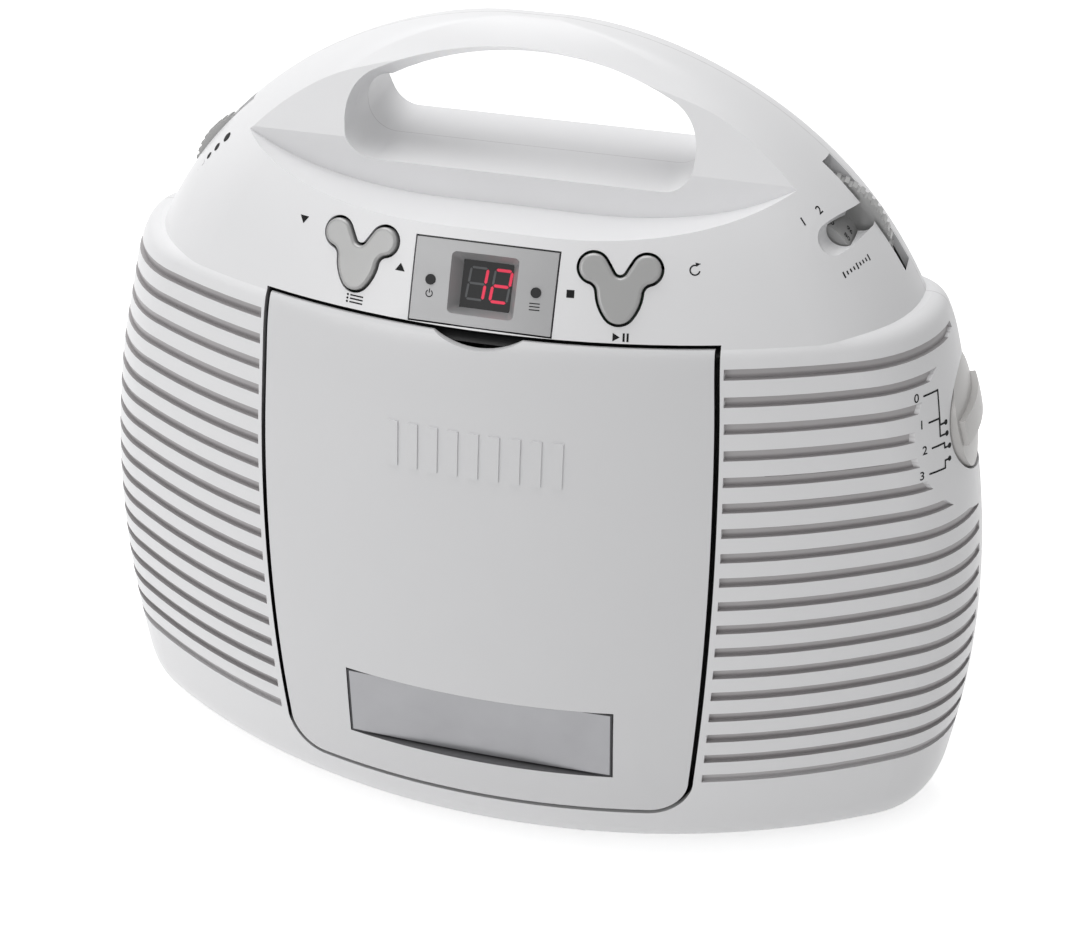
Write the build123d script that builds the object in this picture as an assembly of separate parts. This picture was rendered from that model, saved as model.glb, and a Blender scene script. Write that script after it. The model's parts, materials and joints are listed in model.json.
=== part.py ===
from build123d import *
from math import acos, atan2, cos, pi, radians, sin, sqrt, tan
import os

os.makedirs("parts", exist_ok=True)

# Driving dimensions in millimetres. The origin is under the middle of the base, +Z is up, the front faces -Y.
foot_height = 2.0
body_half_width = 145.0
widest_height = 70.0
side_bow = 0.0016
front_depth = 70.5
rear_depth = 62.0
deepest_height = 75.0
front_bow = 0.00079
rear_bow = 0.00133
front_radius = 225.0
rear_radius = 215.0
ledge_height = 184.7
base_round_height = 18.0
base_round_side = 9.0
base_round_front = 19.0
base_round_rear = 9.0
ledge_round = 4.0
wall = 2.5

# The arched upper housing and its carrying handle.
arch_radius = 132.5
arch_centre = 124.4
arch_stations = [182.0, 184.7, 198.0, 211.5, 222.0, 232.0, 240.0, 247.0, 252.0, 255.2, 256.6]
arch_front_depths = [60.6, 59.5, 53.6, 46.6, 39.2, 30.4, 22.0, 14.6, 9.6, 5.6, 2.4]
arch_rear_depths = [45.2, 44.5, 40.0, 34.5, 28.5, 22.0, 16.5, 12.0, 8.6, 5.4, 2.4]
upper_cavity_top = 204.5
panel_tilt = 25.7
web_face = 21.5
web_lean_height = 222.0
web_top_face = 11.0
web_top_height = 251.0
shelf_outline = [(0.0, 209.5), (30.0, 209.6), (45.0, 211.2), (58.0, 213.9), (68.0, 217.2), (79.0, 222.6)]
shelf_tip = (87.0, 227.4)
shelf_slope = 0.14
shelf_level_y = 42.0
grip_half_width = 52.0
grip_floor = 216.0
grip_top = 245.4
grip_top_radius = 92.0
grip_corner = 9.0
grip_flare = 0.46

# Grille grooves and the sound slits in their floors.
groove_count = 18
groove_top = 176.9
groove_pitch = 8.25
groove_height = 3.2
groove_depth = 1.5
groove_start = 69.0
groove_start_bow = 3.0
groove_end_y = -5.0
groove_end_depth = 0.7
slit_height = 1.0
slit_first = 5
slit_last = 13
slit_start = 82.0
slit_end_y = -34.0

# Disc door and the opening that it closes.
door_half_width = 66.0
door_side_bow = 3.0
door_bottom = 23.2
door_gap = 1.4
door_corner = 12.0
door_shell = 2.0
door_lip_shell = 0.6
door_lip_height = 2.4
door_top = 183.5
notch_half_width = 13.0
notch_depth = 3.8
hinge_y = -51.5
hinge_z = 10.5
hinge_pin_radius = 1.5
hinge_boss_radius = 3.0
hinge_arm_x = 26.0
hinge_arm_width = 4.0
hinge_side_gap = 0.6
hinge_ear = 3.5
arm_bar_low = 31.8
arm_bar_high = 36.0
arm_bar_front = 0.3
running_fit = 0.06
badge_half_width = 42.8
badge_low = 37.2
badge_high = 62.2
badge_thickness = 0.8
badge_proud = 0.1
badge_bow = 1.0
badge_gap = 0.4
pad_face = -63.2
bar_count = 9
bar_pitch = 6.2
bar_width = 3.2
bar_height = 0.5
bar_length = 14.0
bar_middle = 147.6

# Disc well and drive.
disc_z = 104.0
disc_y = -50.0
well_skin = 1.6
well_clear = 0.4
well_top = 182.0
well_back = -43.0
well_plate = 2.0
turntable_radius = 13.0
spindle_radius = 1.0
rod_radius = 1.5
rod_x = 17.5
rod_y = -35.9
gear_module = 0.8
gear_thickness = 2.2
mesh_clearance = 0.25

# Keys and display on the sloping panel.
key_x = 38.4
key_z = 197.0
key_gap = 0.8
key_proud = 1.2
key_depth = 3.0
ear_spread = 7.4
ear_rise = 7.4
ear_radius = 4.0
key_notch = 4.9
notch_radius = 2.2
waist_radius = 3.2
lobe_half_width = 6.2
lobe_widest = 1.6
lobe_flank_radius = 12.8
lobe_tip_radius = 4.4
key_edge = 1.0
board_depth = 9.0
board_thickness = 1.6
bezel_width = 41.4
bezel_height = 23.4
bezel_gap = 0.5
display_z = 196.4
funnel_depth = 4.5
window_width = 14.8
window_height = 13.6

# Thumbwheels on the shoulders and the selector knob on the right end.
wheel_radius = 24.0
wheel_proud = 1.9
wheel_angle = 49.5
wheel_front = -6.0
wheel_back = -2.0
wheel_teeth = 56
wheel_slot_radius = 28.4
wheel_side_clear = 1.2
control_shaft_radius = 2.5
knob_z = 147.4
knob_tilt = 16.5
knob_inset = 2.4
knob_radius = 17.4
knob_pocket_clear = 0.8
knob_pocket_depth = 7.0
knob_shaft_radius = 3.0
island_radius = 29.5

# Speakers behind the grilles.
speaker_x = 104.0
speaker_z = 101.0
speaker_inset = 2.4
speaker_half = 27.0
speaker_cone_radius = 26.0
magnet_radius = 17.0
magnet_length = 10.0

# Battery bay and its lid, antenna, sockets and feet at the back and base.
bay_half_width = 54.0
bay_low = 16.0
bay_high = 94.0
bay_floor_y = 26.0
bay_wall = 2.0
lid_gap = 0.5
lid_shell = 2.2
aerial_x = -66.0
aerial_z = 178.6
aerial_y = 51.6
aerial_radii = [3.0, 2.4, 1.8]
aerial_length = 118.0
aerial_fit = 0.06
foot_radius = 7.0
foot_x = 70.0
foot_front = -27.0
foot_rear = 25.0
foot_seat = 1.0

# Small parts shared by several pieces.
screw_radius = 1.45
screw_head_radius = 2.6
screw_head_height = 1.8
boss_radius = 2.6
speaker_hole = 22.0
speaker_boss = 1.6
key_boss_u = 12.2
key_boss_v = -4.5
housing_screw_places = [(112.0, 30.0), (112.0, 165.0), (66.0, 228.0)]
screw_post_radius = 3.6
screw_tube_radius = 5.0
screw_seat = 5.0
screw_bite = 12.0
knob_cup_wall = 2.0
bezel_seat = 1.9
bezel_ledge = 2.8
recess_turn = 49.4
recess_reach = 129.7
recess_radius = 4.3
recess_end_turn = 47.6
recess_end_reach = 126.6
recess_end_y = -25.0
recess_end_radius = 4.9
recess_start = 1.0
recess_wall = 2.5
dial_radius = 15.5
dial_front = -18.5
dial_clear = 0.6

# Boards, sockets, vents and clips inside the rear housing.
board_y = 30.0
board_half = 58.0
board_low = 104.0
board_high = 166.0
board_inset = 6.0
vent_count = 9
vent_pitch = 6.0
vent_width = 2.4
vent_low = 112.0
vent_high = 142.0
inlet_x = -92.0
inlet_z = 62.0
inlet_width = 20.0
inlet_height = 11.0
jack_x = 92.0
jack_heights = [56.0, 76.0]
jack_collar = 4.0
jack_bore = 1.8
jack_length = 14.0
aerial_lug_y = 46.6
aerial_pin_radius = 2.0
ferrite_y = 16.0
ferrite_z = 192.0
ferrite_radius = 4.5
ferrite_half = 45.0
rod_clip_places = [-34.0, 34.0]

# Liner, clamp and pickup drive behind the door.
liner_front = -57.5
liner_plate = 1.5
liner_radius = 57.0
liner_boss_reach = 36.0
liner_boss_radius = 3.4
puck_radius = 14.0
puck_stem = 8.6
puck_clear = 0.4
recess_ring = 61.5
chassis_screw_x = 37.0
chassis_screw_low = 64.0
chassis_screw_high = 30.0
chassis_y = -40.6
chassis_plate = 1.6
chassis_half = 44.0
chassis_low = 32.0
chassis_high = 140.0
motor_radius = 12.0
motor_length = 9.0
rod_low = 33.0
rod_high = 96.0
rod_bracket = 3.5
sled_z = 80.0
turret_half = 8.0
turret_front = -45.6
lens_radius = 3.2
rack_x = 24.0
gear_z = 63.0
gear_teeth = 16
gear_front = -37.5
sled_motor_radius = 6.0
shaft_radius = 1.0

# Keys, display, wheels and knob details.
pivot_depth = 6.0
pivot_radius = 1.0
pivot_reach = 3.9
pivot_ear = 1.2
pivot_ear_width = 3.6
pivot_block = 3.6
switch_gap = 0.6
switch_body = 4.4
switch_rise = 3.4
bezel_proud = 0.15
collar_depth = 6.0
lamp_x = 15.4
lamp_radius = 1.5
control_front = 1.0
volume_width = 16.0
capacitor_width = 16.8
knob_rim = 0.6
knob_dome = 2.2
knob_grip = 4.8
knob_grip_width = 8.0
knob_grip_bow = 60.0
knob_seat_gap = 0.6
transformer_x = -90.0


def arch_half_width(z):
    return sqrt(arch_radius**2 - (z - arch_centre) ** 2)


def between(z, heights, values):
    """Straight-line value at height z of a table of stations."""
    for low, high, first, last in zip(heights, heights[1:], values, values[1:]):
        if z <= high:
            return first + (last - first) * (z - low) / (high - low)
    return values[-1]


def bowed_size(z):
    """Half width, front depth and rear depth of the lower housing at height z, before its edges are rounded."""
    half = body_half_width - side_bow * (z - widest_height) ** 2
    front = front_depth - front_bow * (z - deepest_height) ** 2
    rear = rear_depth - rear_bow * (z - deepest_height) ** 2
    return half, front, rear


def lower_size(z, inset=0.0):
    """Half width, front depth and rear depth of the lower housing at height z, with rounded edges."""
    half, front, rear = bowed_size(z)
    low = z - foot_height - inset
    if low < base_round_height:
        turn = 1 - sqrt(max(0.0, 1 - ((base_round_height - low) / base_round_height) ** 2))
        half -= base_round_side * turn
        front -= base_round_front * turn
        rear -= base_round_rear * turn
    high = ledge_height - inset - z
    if high < ledge_round:
        turn = ledge_round - sqrt(max(0.0, ledge_round**2 - (ledge_round - high) ** 2))
        half -= turn
        front -= turn
        rear -= turn
    return half - inset, front - inset, rear - inset


def plan_radius(side):
    return front_radius if side < 0 else rear_radius


def half_plan(half, depth, radius, side, z, beyond=0.0):
    """Half of the plan outline: one wide arc between two end arcs, closed along the seam plane."""
    end = (radius**2 - half**2 - (radius - depth) ** 2) / (2 * (radius - half))
    reach = half - end
    across = radius - depth
    span = radius - end
    turn = atan2(across, reach)
    join_x = reach + end * reach / span
    join_y = end * across / span
    mid_x = reach + end * cos(turn / 2)
    mid_y = end * sin(turn / 2)
    points = [(half, 0), (mid_x, mid_y), (join_x, join_y), (0, depth), (-join_x, join_y), (-mid_x, mid_y), (-half, 0)]
    p = [Vector(x, side * y, z) for x, y in points]
    edges = [
        ThreePointArc(p[0], p[1], p[2]),
        ThreePointArc(p[2], p[3], p[4]),
        ThreePointArc(p[4], p[5], p[6]),
    ]
    if beyond:
        far_left = Vector(-half, -side * beyond, z)
        far_right = Vector(half, -side * beyond, z)
        edges += [Line(p[6], far_left), Line(far_left, far_right), Line(far_right, p[0])]
    else:
        edges.append(Line(p[6], p[0]))
    return make_face(edges)


def lower_half(side, inset=0.0, beyond=0.0):
    """One half of the barrel-shaped lower housing, shrunk by an inset."""
    stations = [foot_height + inset + rise for rise in (0.0, 0.6, 2.0, 4.5, 8.5, 14.0)]
    stations += [25.0, 45.0, 70.0, 95.0, 120.0, 145.0, 165.0]
    stations += [ledge_height - inset - drop for drop in (ledge_round, ledge_round / 2, 0.7, 0.0)]
    sections = []
    for z in stations:
        half, front, rear = lower_size(z, inset)
        depth = front if side < 0 else rear
        sections.append(half_plan(half, depth, plan_radius(side) - inset, side, z, beyond))
    return loft(sections)


def plain_core(side, inset, side_inset=None):
    """The bowed lower form without rounded edges, shrunk by an inset, for cutting skins of even thickness."""
    across = inset if side_inset is None else side_inset
    sections = []
    for z in (1.0, 25.0, 45.0, 70.0, 95.0, 120.0, 145.0, 165.0, ledge_height + 5):
        half, front, rear = bowed_size(z)
        depth = (front if side < 0 else rear) - inset
        sections.append(half_plan(half - across, depth, plan_radius(side) - across, side, z, 1.0))
    return loft(sections)


def upper_half(side, inset=0.0, top=None, beyond=0.0):
    """One half of the arched upper housing, shrunk by an inset."""
    depths = arch_front_depths if side < 0 else arch_rear_depths
    heights = [z for z in arch_stations if top is None or z <= top]
    if top is not None:
        heights.append(top)
    sections = []
    for z in heights:
        depth = between(z, arch_stations, depths)
        half = arch_half_width(z) - inset
        sections.append(half_plan(half, depth - inset, plan_radius(side) - inset, side, z, beyond))
    return loft(sections)


def skin_plane(x, z, side, depth, slope, inward=0.0):
    """Plane on the outer surface at x and z, facing outwards, or shifted inwards along its normal."""
    radius = plan_radius(side)
    run = sqrt(radius**2 - x**2)
    y = side * (depth - radius + run)
    normal = Vector(x / run, side, -slope).normalized()
    level = Vector(-normal.Y, normal.X, 0).normalized()
    return Plane(origin=Vector(x, y, z) - normal * inward, x_dir=level, z_dir=normal)


def wall_plane(x, z, side, inward=0.0):
    """Plane on the lower housing's surface."""
    half, front, rear = bowed_size(z)
    if side < 0:
        return skin_plane(x, z, side, front, -2 * front_bow * (z - deepest_height), inward)
    return skin_plane(x, z, side, rear, -2 * rear_bow * (z - deepest_height), inward)


def panel_plane(x, z, inward=0.0):
    """Plane on the sloping control panel above the door."""
    depth = between(z, arch_stations, arch_front_depths)
    return skin_plane(x, z, -1, depth, -tan(radians(panel_tilt)), inward)


def box(x, y, z):
    """Box between pairs of limits."""
    size = (x[1] - x[0], y[1] - y[0], z[1] - z[0])
    middle = ((x[0] + x[1]) / 2, (y[0] + y[1]) / 2, (z[0] + z[1]) / 2)
    return Pos(*middle) * Box(*size)


def rod(plane, radius, start, end, at=(0.0, 0.0)):
    """Round bar along a plane's normal, between two distances from the plane."""
    centre = plane.origin + plane.x_dir * at[0] + plane.y_dir * at[1] + plane.z_dir * ((start + end) / 2)
    return Plane(origin=centre, x_dir=plane.x_dir, z_dir=plane.z_dir) * Cylinder(radius, abs(end - start))


def block(plane, width, height, start, end, at=(0.0, 0.0)):
    """Rectangular bar along a plane's normal, between two distances from the plane."""
    centre = plane.origin + plane.x_dir * at[0] + plane.y_dir * at[1] + plane.z_dir * ((start + end) / 2)
    return Plane(origin=centre, x_dir=plane.x_dir, z_dir=plane.z_dir) * Box(width, height, abs(end - start))


def facing(side, x, z, y=0.0):
    """Plane in the XZ directions through y, with its normal along the front or rear direction."""
    return Plane(origin=(x, y, z), x_dir=(-side, 0, 0), z_dir=(0, side, 0))


def across(y, z, x=0.0, toward=1):
    """Plane square to the X direction."""
    return Plane(origin=(x, y, z), x_dir=(0, toward, 0), z_dir=(toward, 0, 0))


def prism(outline, plane, start, end):
    """Sketch on a plane, extruded along its normal between two distances."""
    moved = Plane(origin=plane.origin + plane.z_dir * start, x_dir=plane.x_dir, z_dir=plane.z_dir)
    return extrude(moved * outline, amount=end - start)


def skin_y(x, z, side):
    """Distance of the lower housing's outer surface from the seam plane."""
    half, front, rear = bowed_size(z)
    radius = plan_radius(side)
    return (front if side < 0 else rear) - radius + sqrt(radius**2 - x**2)


def hinge_span():
    """Half length of a hinge pin: across the arm, its side gaps and both ears."""
    return hinge_arm_width / 2 + hinge_side_gap + hinge_ear


def arch_point(turn, reach, y):
    """Point at an angle from upright and a distance from the arch's centre."""
    angle = radians(turn)
    return Vector(reach * sin(angle), y, arch_centre + reach * cos(angle))


def finger_trough(grow):
    """Round-ended trough that opens into the tuning wheel's slot, grown by the thickness of its wall."""
    base = arch_point(recess_turn, recess_reach, wheel_front - wheel_side_clear + recess_start)
    end = arch_point(recess_end_turn, recess_end_reach, recess_end_y)
    run = end - base
    plane = Plane(origin=(base + end) / 2, x_dir=(0, 0, 1), z_dir=run.normalized())
    trough = plane * Cone(recess_radius + grow, recess_end_radius + grow, run.length)
    return trough + Pos(*end) * Sphere(recess_end_radius + grow)


def board_posts():
    inner = board_half - board_inset
    return [(side * inner, z) for side in (-1, 1) for z in (board_low + board_inset, board_high - board_inset)]


def scoop(side):
    """The hollow in front of the grip hole, open to one face of the arch."""
    far = 80.0
    lift = shelf_slope * (far - shelf_level_y)
    points = [Vector(x, side * far, z + lift) for x, z in shelf_outline + [shelf_tip]]
    left = [Vector(-p.X, p.Y, p.Z) for p in reversed(points[1:])]
    tip = points[-1]
    roof = arch_centre + 2 * arch_radius
    outline = [
        Spline(*left, *points),
        Line(tip, Vector(tip.X, tip.Y, roof)),
        Line(Vector(tip.X, tip.Y, roof), Vector(-tip.X, tip.Y, roof)),
        Line(Vector(-tip.X, tip.Y, roof), left[0]),
    ]
    hollow = extrude(make_face(outline), amount=far, dir=Vector(0, -side, -shelf_slope).normalized())
    lean = (web_face - web_top_face) / (web_top_height - web_lean_height)
    top_face = web_top_face - lean * (roof - web_top_height)
    profile = Polyline(
        (-200, side * web_face, 150),
        (-200, side * web_face, web_lean_height),
        (-200, side * top_face, roof + 20),
        (-200, side * 120, roof + 20),
        (-200, side * 120, 150),
        close=True,
    )
    front_of_web = extrude(make_face(profile), amount=400.0, dir=Vector(1, 0, 0))
    return hollow & front_of_web


def grip_outline(y):
    """Section of the grip hole at y: its roof rises towards both faces."""
    lift = grip_flare * abs(y)
    shoulder_x = grip_half_width - 8.0
    shoulder_z = grip_top + lift - grip_top_radius + sqrt(grip_top_radius**2 - shoulder_x**2)
    low = grip_floor
    side_z = grip_floor + grip_corner
    bend = grip_corner * (1 - sqrt(0.5))
    inner = grip_half_width - grip_corner
    bulge_z = (side_z + shoulder_z) / 2 + 1.0
    bulge_x = grip_half_width - 1.2
    edges = [
        Line((-inner, y, low), (inner, y, low)),
        ThreePointArc((inner, y, low), (grip_half_width - bend, y, low + bend), (grip_half_width, y, side_z)),
        ThreePointArc((grip_half_width, y, side_z), (bulge_x, y, bulge_z), (shoulder_x, y, shoulder_z)),
        ThreePointArc((shoulder_x, y, shoulder_z), (0, y, grip_top + lift), (-shoulder_x, y, shoulder_z)),
        ThreePointArc((-shoulder_x, y, shoulder_z), (-bulge_x, y, bulge_z), (-grip_half_width, y, side_z)),
        ThreePointArc((-grip_half_width, y, side_z), (-grip_half_width + bend, y, low + bend), (-inner, y, low)),
    ]
    return make_face(edges)


def grip_hole(side):
    """Half of the through hole under the handle bar, flared towards one face."""
    return loft([grip_outline(-side * 0.01), grip_outline(side * 30.0)], ruled=True)


def door_outline(grow, top, y=-120.0):
    """Front outline of the door, or of its opening when grown by the gap."""
    half = door_half_width + grow
    bow = half + door_side_bow
    low = door_bottom - grow
    corner = door_corner + grow
    mid = (low + top) / 2
    bend = corner * (1 - sqrt(0.5))
    edges = [
        Line((-half + corner, y, low), (half - corner, y, low)),
        ThreePointArc((half - corner, y, low), (half - bend, y, low + bend), (half, y, low + corner)),
        ThreePointArc((half, y, low + corner), (bow, y, mid), (half, y, top)),
        Line((half, y, top), (-half, y, top)),
        ThreePointArc((-half, y, top), (-bow, y, mid), (-half, y, low + corner)),
        ThreePointArc((-half, y, low + corner), (-half + bend, y, low + bend), (-half + corner, y, low)),
    ]
    return make_face(edges)


def door_prism(grow, top, start, end):
    """The door's outline, extruded between two depths."""
    return extrude(door_outline(grow, top, start), amount=end - start, dir=Vector(0, 1, 0))


def polar(centre, radius, angle):
    return (centre[0] + radius * cos(angle), centre[1] + radius * sin(angle))


def bearing(start, end):
    """Direction from one point to another, in radians."""
    return atan2(end[1] - start[1], end[0] - start[0])


def crossing(first, first_radius, second, second_radius):
    """Crossing of two circles that lies to the right of the line from first to second."""
    gap = sqrt((second[0] - first[0]) ** 2 + (second[1] - first[1]) ** 2)
    turn = acos((first_radius**2 + gap**2 - second_radius**2) / (2 * first_radius * gap))
    return polar(first, first_radius, bearing(first, second) - turn)


def key_outline(grow=0.0):
    """Three-lobed outline of a key: two ears over a wide stem, all of tangent arcs."""
    ear = (ear_spread, ear_rise)
    notch = (0.0, key_notch + notch_radius)
    apart = sqrt(ear_spread**2 + (ear_rise - notch[1]) ** 2)
    reach = bearing(notch, ear) - acos((notch_radius + ear_radius) / apart)
    flank = (lobe_half_width - lobe_flank_radius, lobe_widest)
    drop = sqrt((lobe_flank_radius - lobe_tip_radius) ** 2 - flank[0] ** 2)
    tip = (0.0, lobe_widest - drop)
    waist = crossing(flank, lobe_flank_radius + waist_radius, ear, ear_radius + waist_radius)
    edges = []
    low = -pi / 2
    inner = notch_radius - grow
    foot = polar(notch, inner, reach)
    crest = polar(ear, ear_radius + grow, reach + pi)
    edges.append(ThreePointArc((-foot[0], foot[1]), polar(notch, inner, low), foot))
    edges.append(Line(foot, crest))
    edges.append(Line((-foot[0], foot[1]), (-crest[0], crest[1])))
    end = bearing(flank, tip)
    tip_radius = lobe_tip_radius + grow
    tip_points = [polar(tip, tip_radius, angle) for angle in (end, low, -pi - end)]
    edges.append(ThreePointArc(*tip_points))
    stretches = [
        (ear, ear_radius + grow, reach + pi, bearing(ear, waist)),
        (waist, waist_radius - grow, bearing(waist, ear), bearing(waist, flank) % (2 * pi)),
        (flank, lobe_flank_radius + grow, bearing(flank, waist), end),
    ]
    for centre, radius, start, stop in stretches:
        points = [polar(centre, radius, angle) for angle in (start, (start + stop) / 2, stop)]
        edges.append(ThreePointArc(*points))
        edges.append(ThreePointArc(*[(-x, y) for x, y in points]))
    return make_face(edges)


def key_plane(side, inward=0.0):
    return panel_plane(side * key_x, key_z, inward)


def wheel_centre(side):
    reach = arch_radius + wheel_proud - wheel_radius
    turn = radians(wheel_angle)
    return Vector(side * reach * sin(turn), 0, arch_centre + reach * cos(turn))


def wheel_plane(side):
    """Plane through a thumbwheel's axis, facing the front."""
    centre = wheel_centre(side)
    return Plane(origin=centre, x_dir=(1, 0, 0), z_dir=(0, -1, 0))


def knob_plane():
    """Plane of the selector knob's seat on the right end, facing outwards."""
    half, front, rear = bowed_size(knob_z)
    tilt = radians(knob_tilt)
    return Plane(origin=(half - knob_inset, 0, knob_z), x_dir=(0, 1, 0), z_dir=(cos(tilt), 0, sin(tilt)))


def groove_cutter():
    """All grille grooves on both sides, their floors running out towards the ends."""
    floor = plain_core(-1, groove_depth, groove_end_depth)
    bars = []
    for index in range(groove_count):
        z = groove_top - index * groove_pitch
        middle = (groove_top + door_bottom) / 2
        bow = groove_start_bow * (1 - ((z - middle) / (groove_top - middle)) ** 2)
        start = groove_start + bow
        for side in (-1, 1):
            x = sorted((side * start, side * (body_half_width + 10)))
            bars.append(box(x, (-90.0, groove_end_y), (z - groove_height / 2, z + groove_height / 2)))
    cutter = bars[0].fuse(*bars[1:])
    island = rod(across(0.0, knob_z), island_radius, body_half_width / 2, body_half_width + 20)
    return cutter - floor - island


def slit_cutter():
    """Sound slits at the top of the grooves in front of the speakers."""
    slits = []
    for index in range(slit_first - 1, slit_last):
        high = groove_top - index * groove_pitch + groove_height / 2
        for side in (-1, 1):
            x = sorted((side * slit_start, side * body_half_width))
            slits.append(box(x, (-90.0, slit_end_y), (high - slit_height, high)))
    return slits[0].fuse(*slits[1:])


def speaker_plane(side):
    """Plane of a speaker's front, just inside the grille."""
    return wall_plane(side * speaker_x, speaker_z, -1, wall + speaker_inset)


def screw_places():
    return [(side * x, z) for x, z in housing_screw_places for side in (-1, 1)]


def housing_half(side):
    """Front or rear housing: shell, arch, scoop, grip hole and what both halves share."""
    shell = lower_half(side) + upper_half(side)
    shell -= scoop(side)
    shell -= lower_half(side, wall, beyond=1.0)
    shell -= upper_half(side, wall, top=upper_cavity_top, beyond=1.0)
    shell -= grip_hole(side)
    half_space = box((-200, 200), sorted((0.0, side * 100.0)), (-10, 300))
    seat = knob_plane()
    cup_radius = knob_radius + knob_pocket_clear + knob_cup_wall
    outside = lower_half(side)
    cup = rod(seat, cup_radius, -knob_pocket_depth - knob_cup_wall, 4.0) & half_space & outside
    shell += cup
    shell -= rod(seat, knob_radius + knob_pocket_clear, -knob_pocket_depth, 12.0)
    shell -= rod(seat, knob_shaft_radius + running_fit, -20.0, 12.0)
    slot_front = wheel_front - wheel_side_clear
    slot_back = wheel_back + wheel_side_clear
    if side < 0:
        for x_side in (-1, 1):
            shell -= rod(wheel_plane(x_side), wheel_slot_radius, -slot_back, -slot_front)
    return shell


def front_housing():
    """Front housing with the grilles, the door opening, the panel holes and its inner bosses."""
    shell = housing_half(-1)
    shell -= door_prism(door_gap, ledge_height, -120.0, -44.0)
    shell -= groove_cutter()
    shell -= slit_cutter()
    for side in (-1, 1):
        shell -= prism(key_outline(key_gap), key_plane(side), -14.0, 8.0)
    display = panel_plane(0.0, display_z)
    pocket = block(display, bezel_width + 2 * bezel_gap, bezel_height + 2 * bezel_gap, -8.0, 6.0)
    shell -= pocket - upper_half(-1, bezel_seat, beyond=1.0)
    shell -= block(display, bezel_width - 2 * bezel_ledge, bezel_height - 2 * bezel_ledge, -14.0, 6.0)
    front_of_slot = box((0, 200), (-90.0, wheel_front - wheel_side_clear), (150, 300))
    shell += finger_trough(recess_wall) & upper_half(-1) & front_of_slot
    shell -= finger_trough(0.0)
    dial_room = (wheel_side_clear - wheel_front - 0.5, dial_clear - dial_front)
    shell -= rod(wheel_plane(1), dial_radius + dial_clear, *dial_room)
    for side in (-1, 1):
        plane = speaker_plane(side)
        for u in (-1, 1):
            for v in (-1, 1):
                shell += rod(plane, boss_radius, 0.0, speaker_boss, (u * speaker_hole, v * speaker_hole))
                shell -= rod(plane, screw_radius, 0.0, speaker_boss, (u * speaker_hole, v * speaker_hole))
        for u in (-1, 1):
            shell += rod(key_plane(side), boss_radius, -board_depth, -wall, (u * key_boss_u, key_boss_v))
    for x in (-hinge_arm_x, hinge_arm_x):
        for side in (-1, 1):
            near = x + side * (hinge_arm_width / 2 + hinge_side_gap)
            limits = sorted((near, near + side * hinge_ear))
            shell += box(limits, (hinge_y - 3.0, hinge_y + 4.0), (foot_height + 1.0, hinge_z + 3.5))
        shell -= rod(across(hinge_y, hinge_z, x), hinge_pin_radius, -hinge_span(), hinge_span())
    for x, z in screw_places():
        plane = facing(-1, x, z)
        if z < ledge_height:
            shell += rod(plane, screw_post_radius, 0.0, skin_y(x, z, -1)) & plain_core(-1, groove_depth + 0.3)
        shell -= rod(plane, screw_radius, 0.0, screw_bite)
    for x, y in ((-foot_x, foot_front), (foot_x, foot_front), (0.0, 0.0)):
        shell -= Pos(x, y, foot_height) * Cylinder(foot_radius, 2 * foot_seat)
    return shell


def bay_box(grow, start_y):
    """Block of the battery bay's size, grown sideways, from a depth out through the back."""
    half = bay_half_width + grow
    return box((-half, half), (start_y, 90.0), (bay_low - grow, bay_high + grow))


def rear_housing():
    """Rear housing with the battery bay, sockets, vents, board posts and screw tubes."""
    shell = housing_half(1)
    cavity = lower_half(1, wall, beyond=1.0)
    shell += bay_box(2 * bay_wall, bay_floor_y - bay_wall) & cavity
    shell -= bay_box(bay_wall, bay_floor_y) - plain_core(1, wall)
    shell -= bay_box(0.0, bay_floor_y)
    for x, z in board_posts():
        plane = facing(1, x, z)
        shell += rod(plane, boss_radius, board_y + board_thickness, skin_y(x, z, 1) - wall / 2)
        shell -= rod(plane, screw_radius, board_y + board_thickness, board_y + board_thickness + 8.0)
    for index in range(vent_count):
        x = (index - (vent_count - 1) / 2) * vent_pitch
        shell -= box((x - vent_width / 2, x + vent_width / 2), (30.0, 90.0), (vent_low, vent_high))
    inlet = wall_plane(inlet_x, inlet_z, 1)
    shell -= block(inlet, inlet_width, inlet_height, -wall - 3.0, 5.0)
    for z in jack_heights:
        shell -= rod(wall_plane(jack_x, z, 1), jack_collar, -wall - 3.0, 5.0)
    lug = box((aerial_x - 7.0, aerial_x + 7.0), (30.0, aerial_lug_y), (aerial_z - 6.0, aerial_z + 5.0))
    shell += lug - lower_half(1, wall, beyond=1.0)
    shell -= rod(facing(1, aerial_x, aerial_z), aerial_pin_radius + running_fit, 30.0, 90.0)
    for x in rod_clip_places:
        depth = (ferrite_y - 7.0, ferrite_y + 7.0)
        shell += box((x - 2.0, x + 2.0), depth, (ferrite_z - 6.0, upper_cavity_top + 1.0))
    shell -= rod(across(ferrite_y, ferrite_z), ferrite_radius, -ferrite_half, ferrite_half)
    for x, z in screw_places():
        plane = facing(1, x, z)
        if z < ledge_height:
            shell += rod(plane, screw_tube_radius, 0.0, skin_y(x, z, 1) + wall) & plain_core(1, wall / 2)
        shell -= rod(plane, screw_radius + 0.2, -1.0, screw_seat + 1.0)
        shell -= rod(plane, screw_head_radius + 0.4, screw_seat, 90.0)
    for x, y in ((-foot_x, foot_rear), (foot_x, foot_rear), (0.0, 0.0)):
        shell -= Pos(x, y, foot_height) * Cylinder(foot_radius, 2 * foot_seat)
    return shell


def front_rod(x, z, radius, start_y, end_y):
    """Round bar along Y between two depths."""
    return Pos(x, (start_y + end_y) / 2, z) * Rot(90, 0, 0) * Cylinder(radius, abs(end_y - start_y))


def upright(x, y, radius, low, high):
    """Round bar along Z."""
    return Pos(x, y, (low + high) / 2) * Cylinder(radius, high - low)


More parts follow.
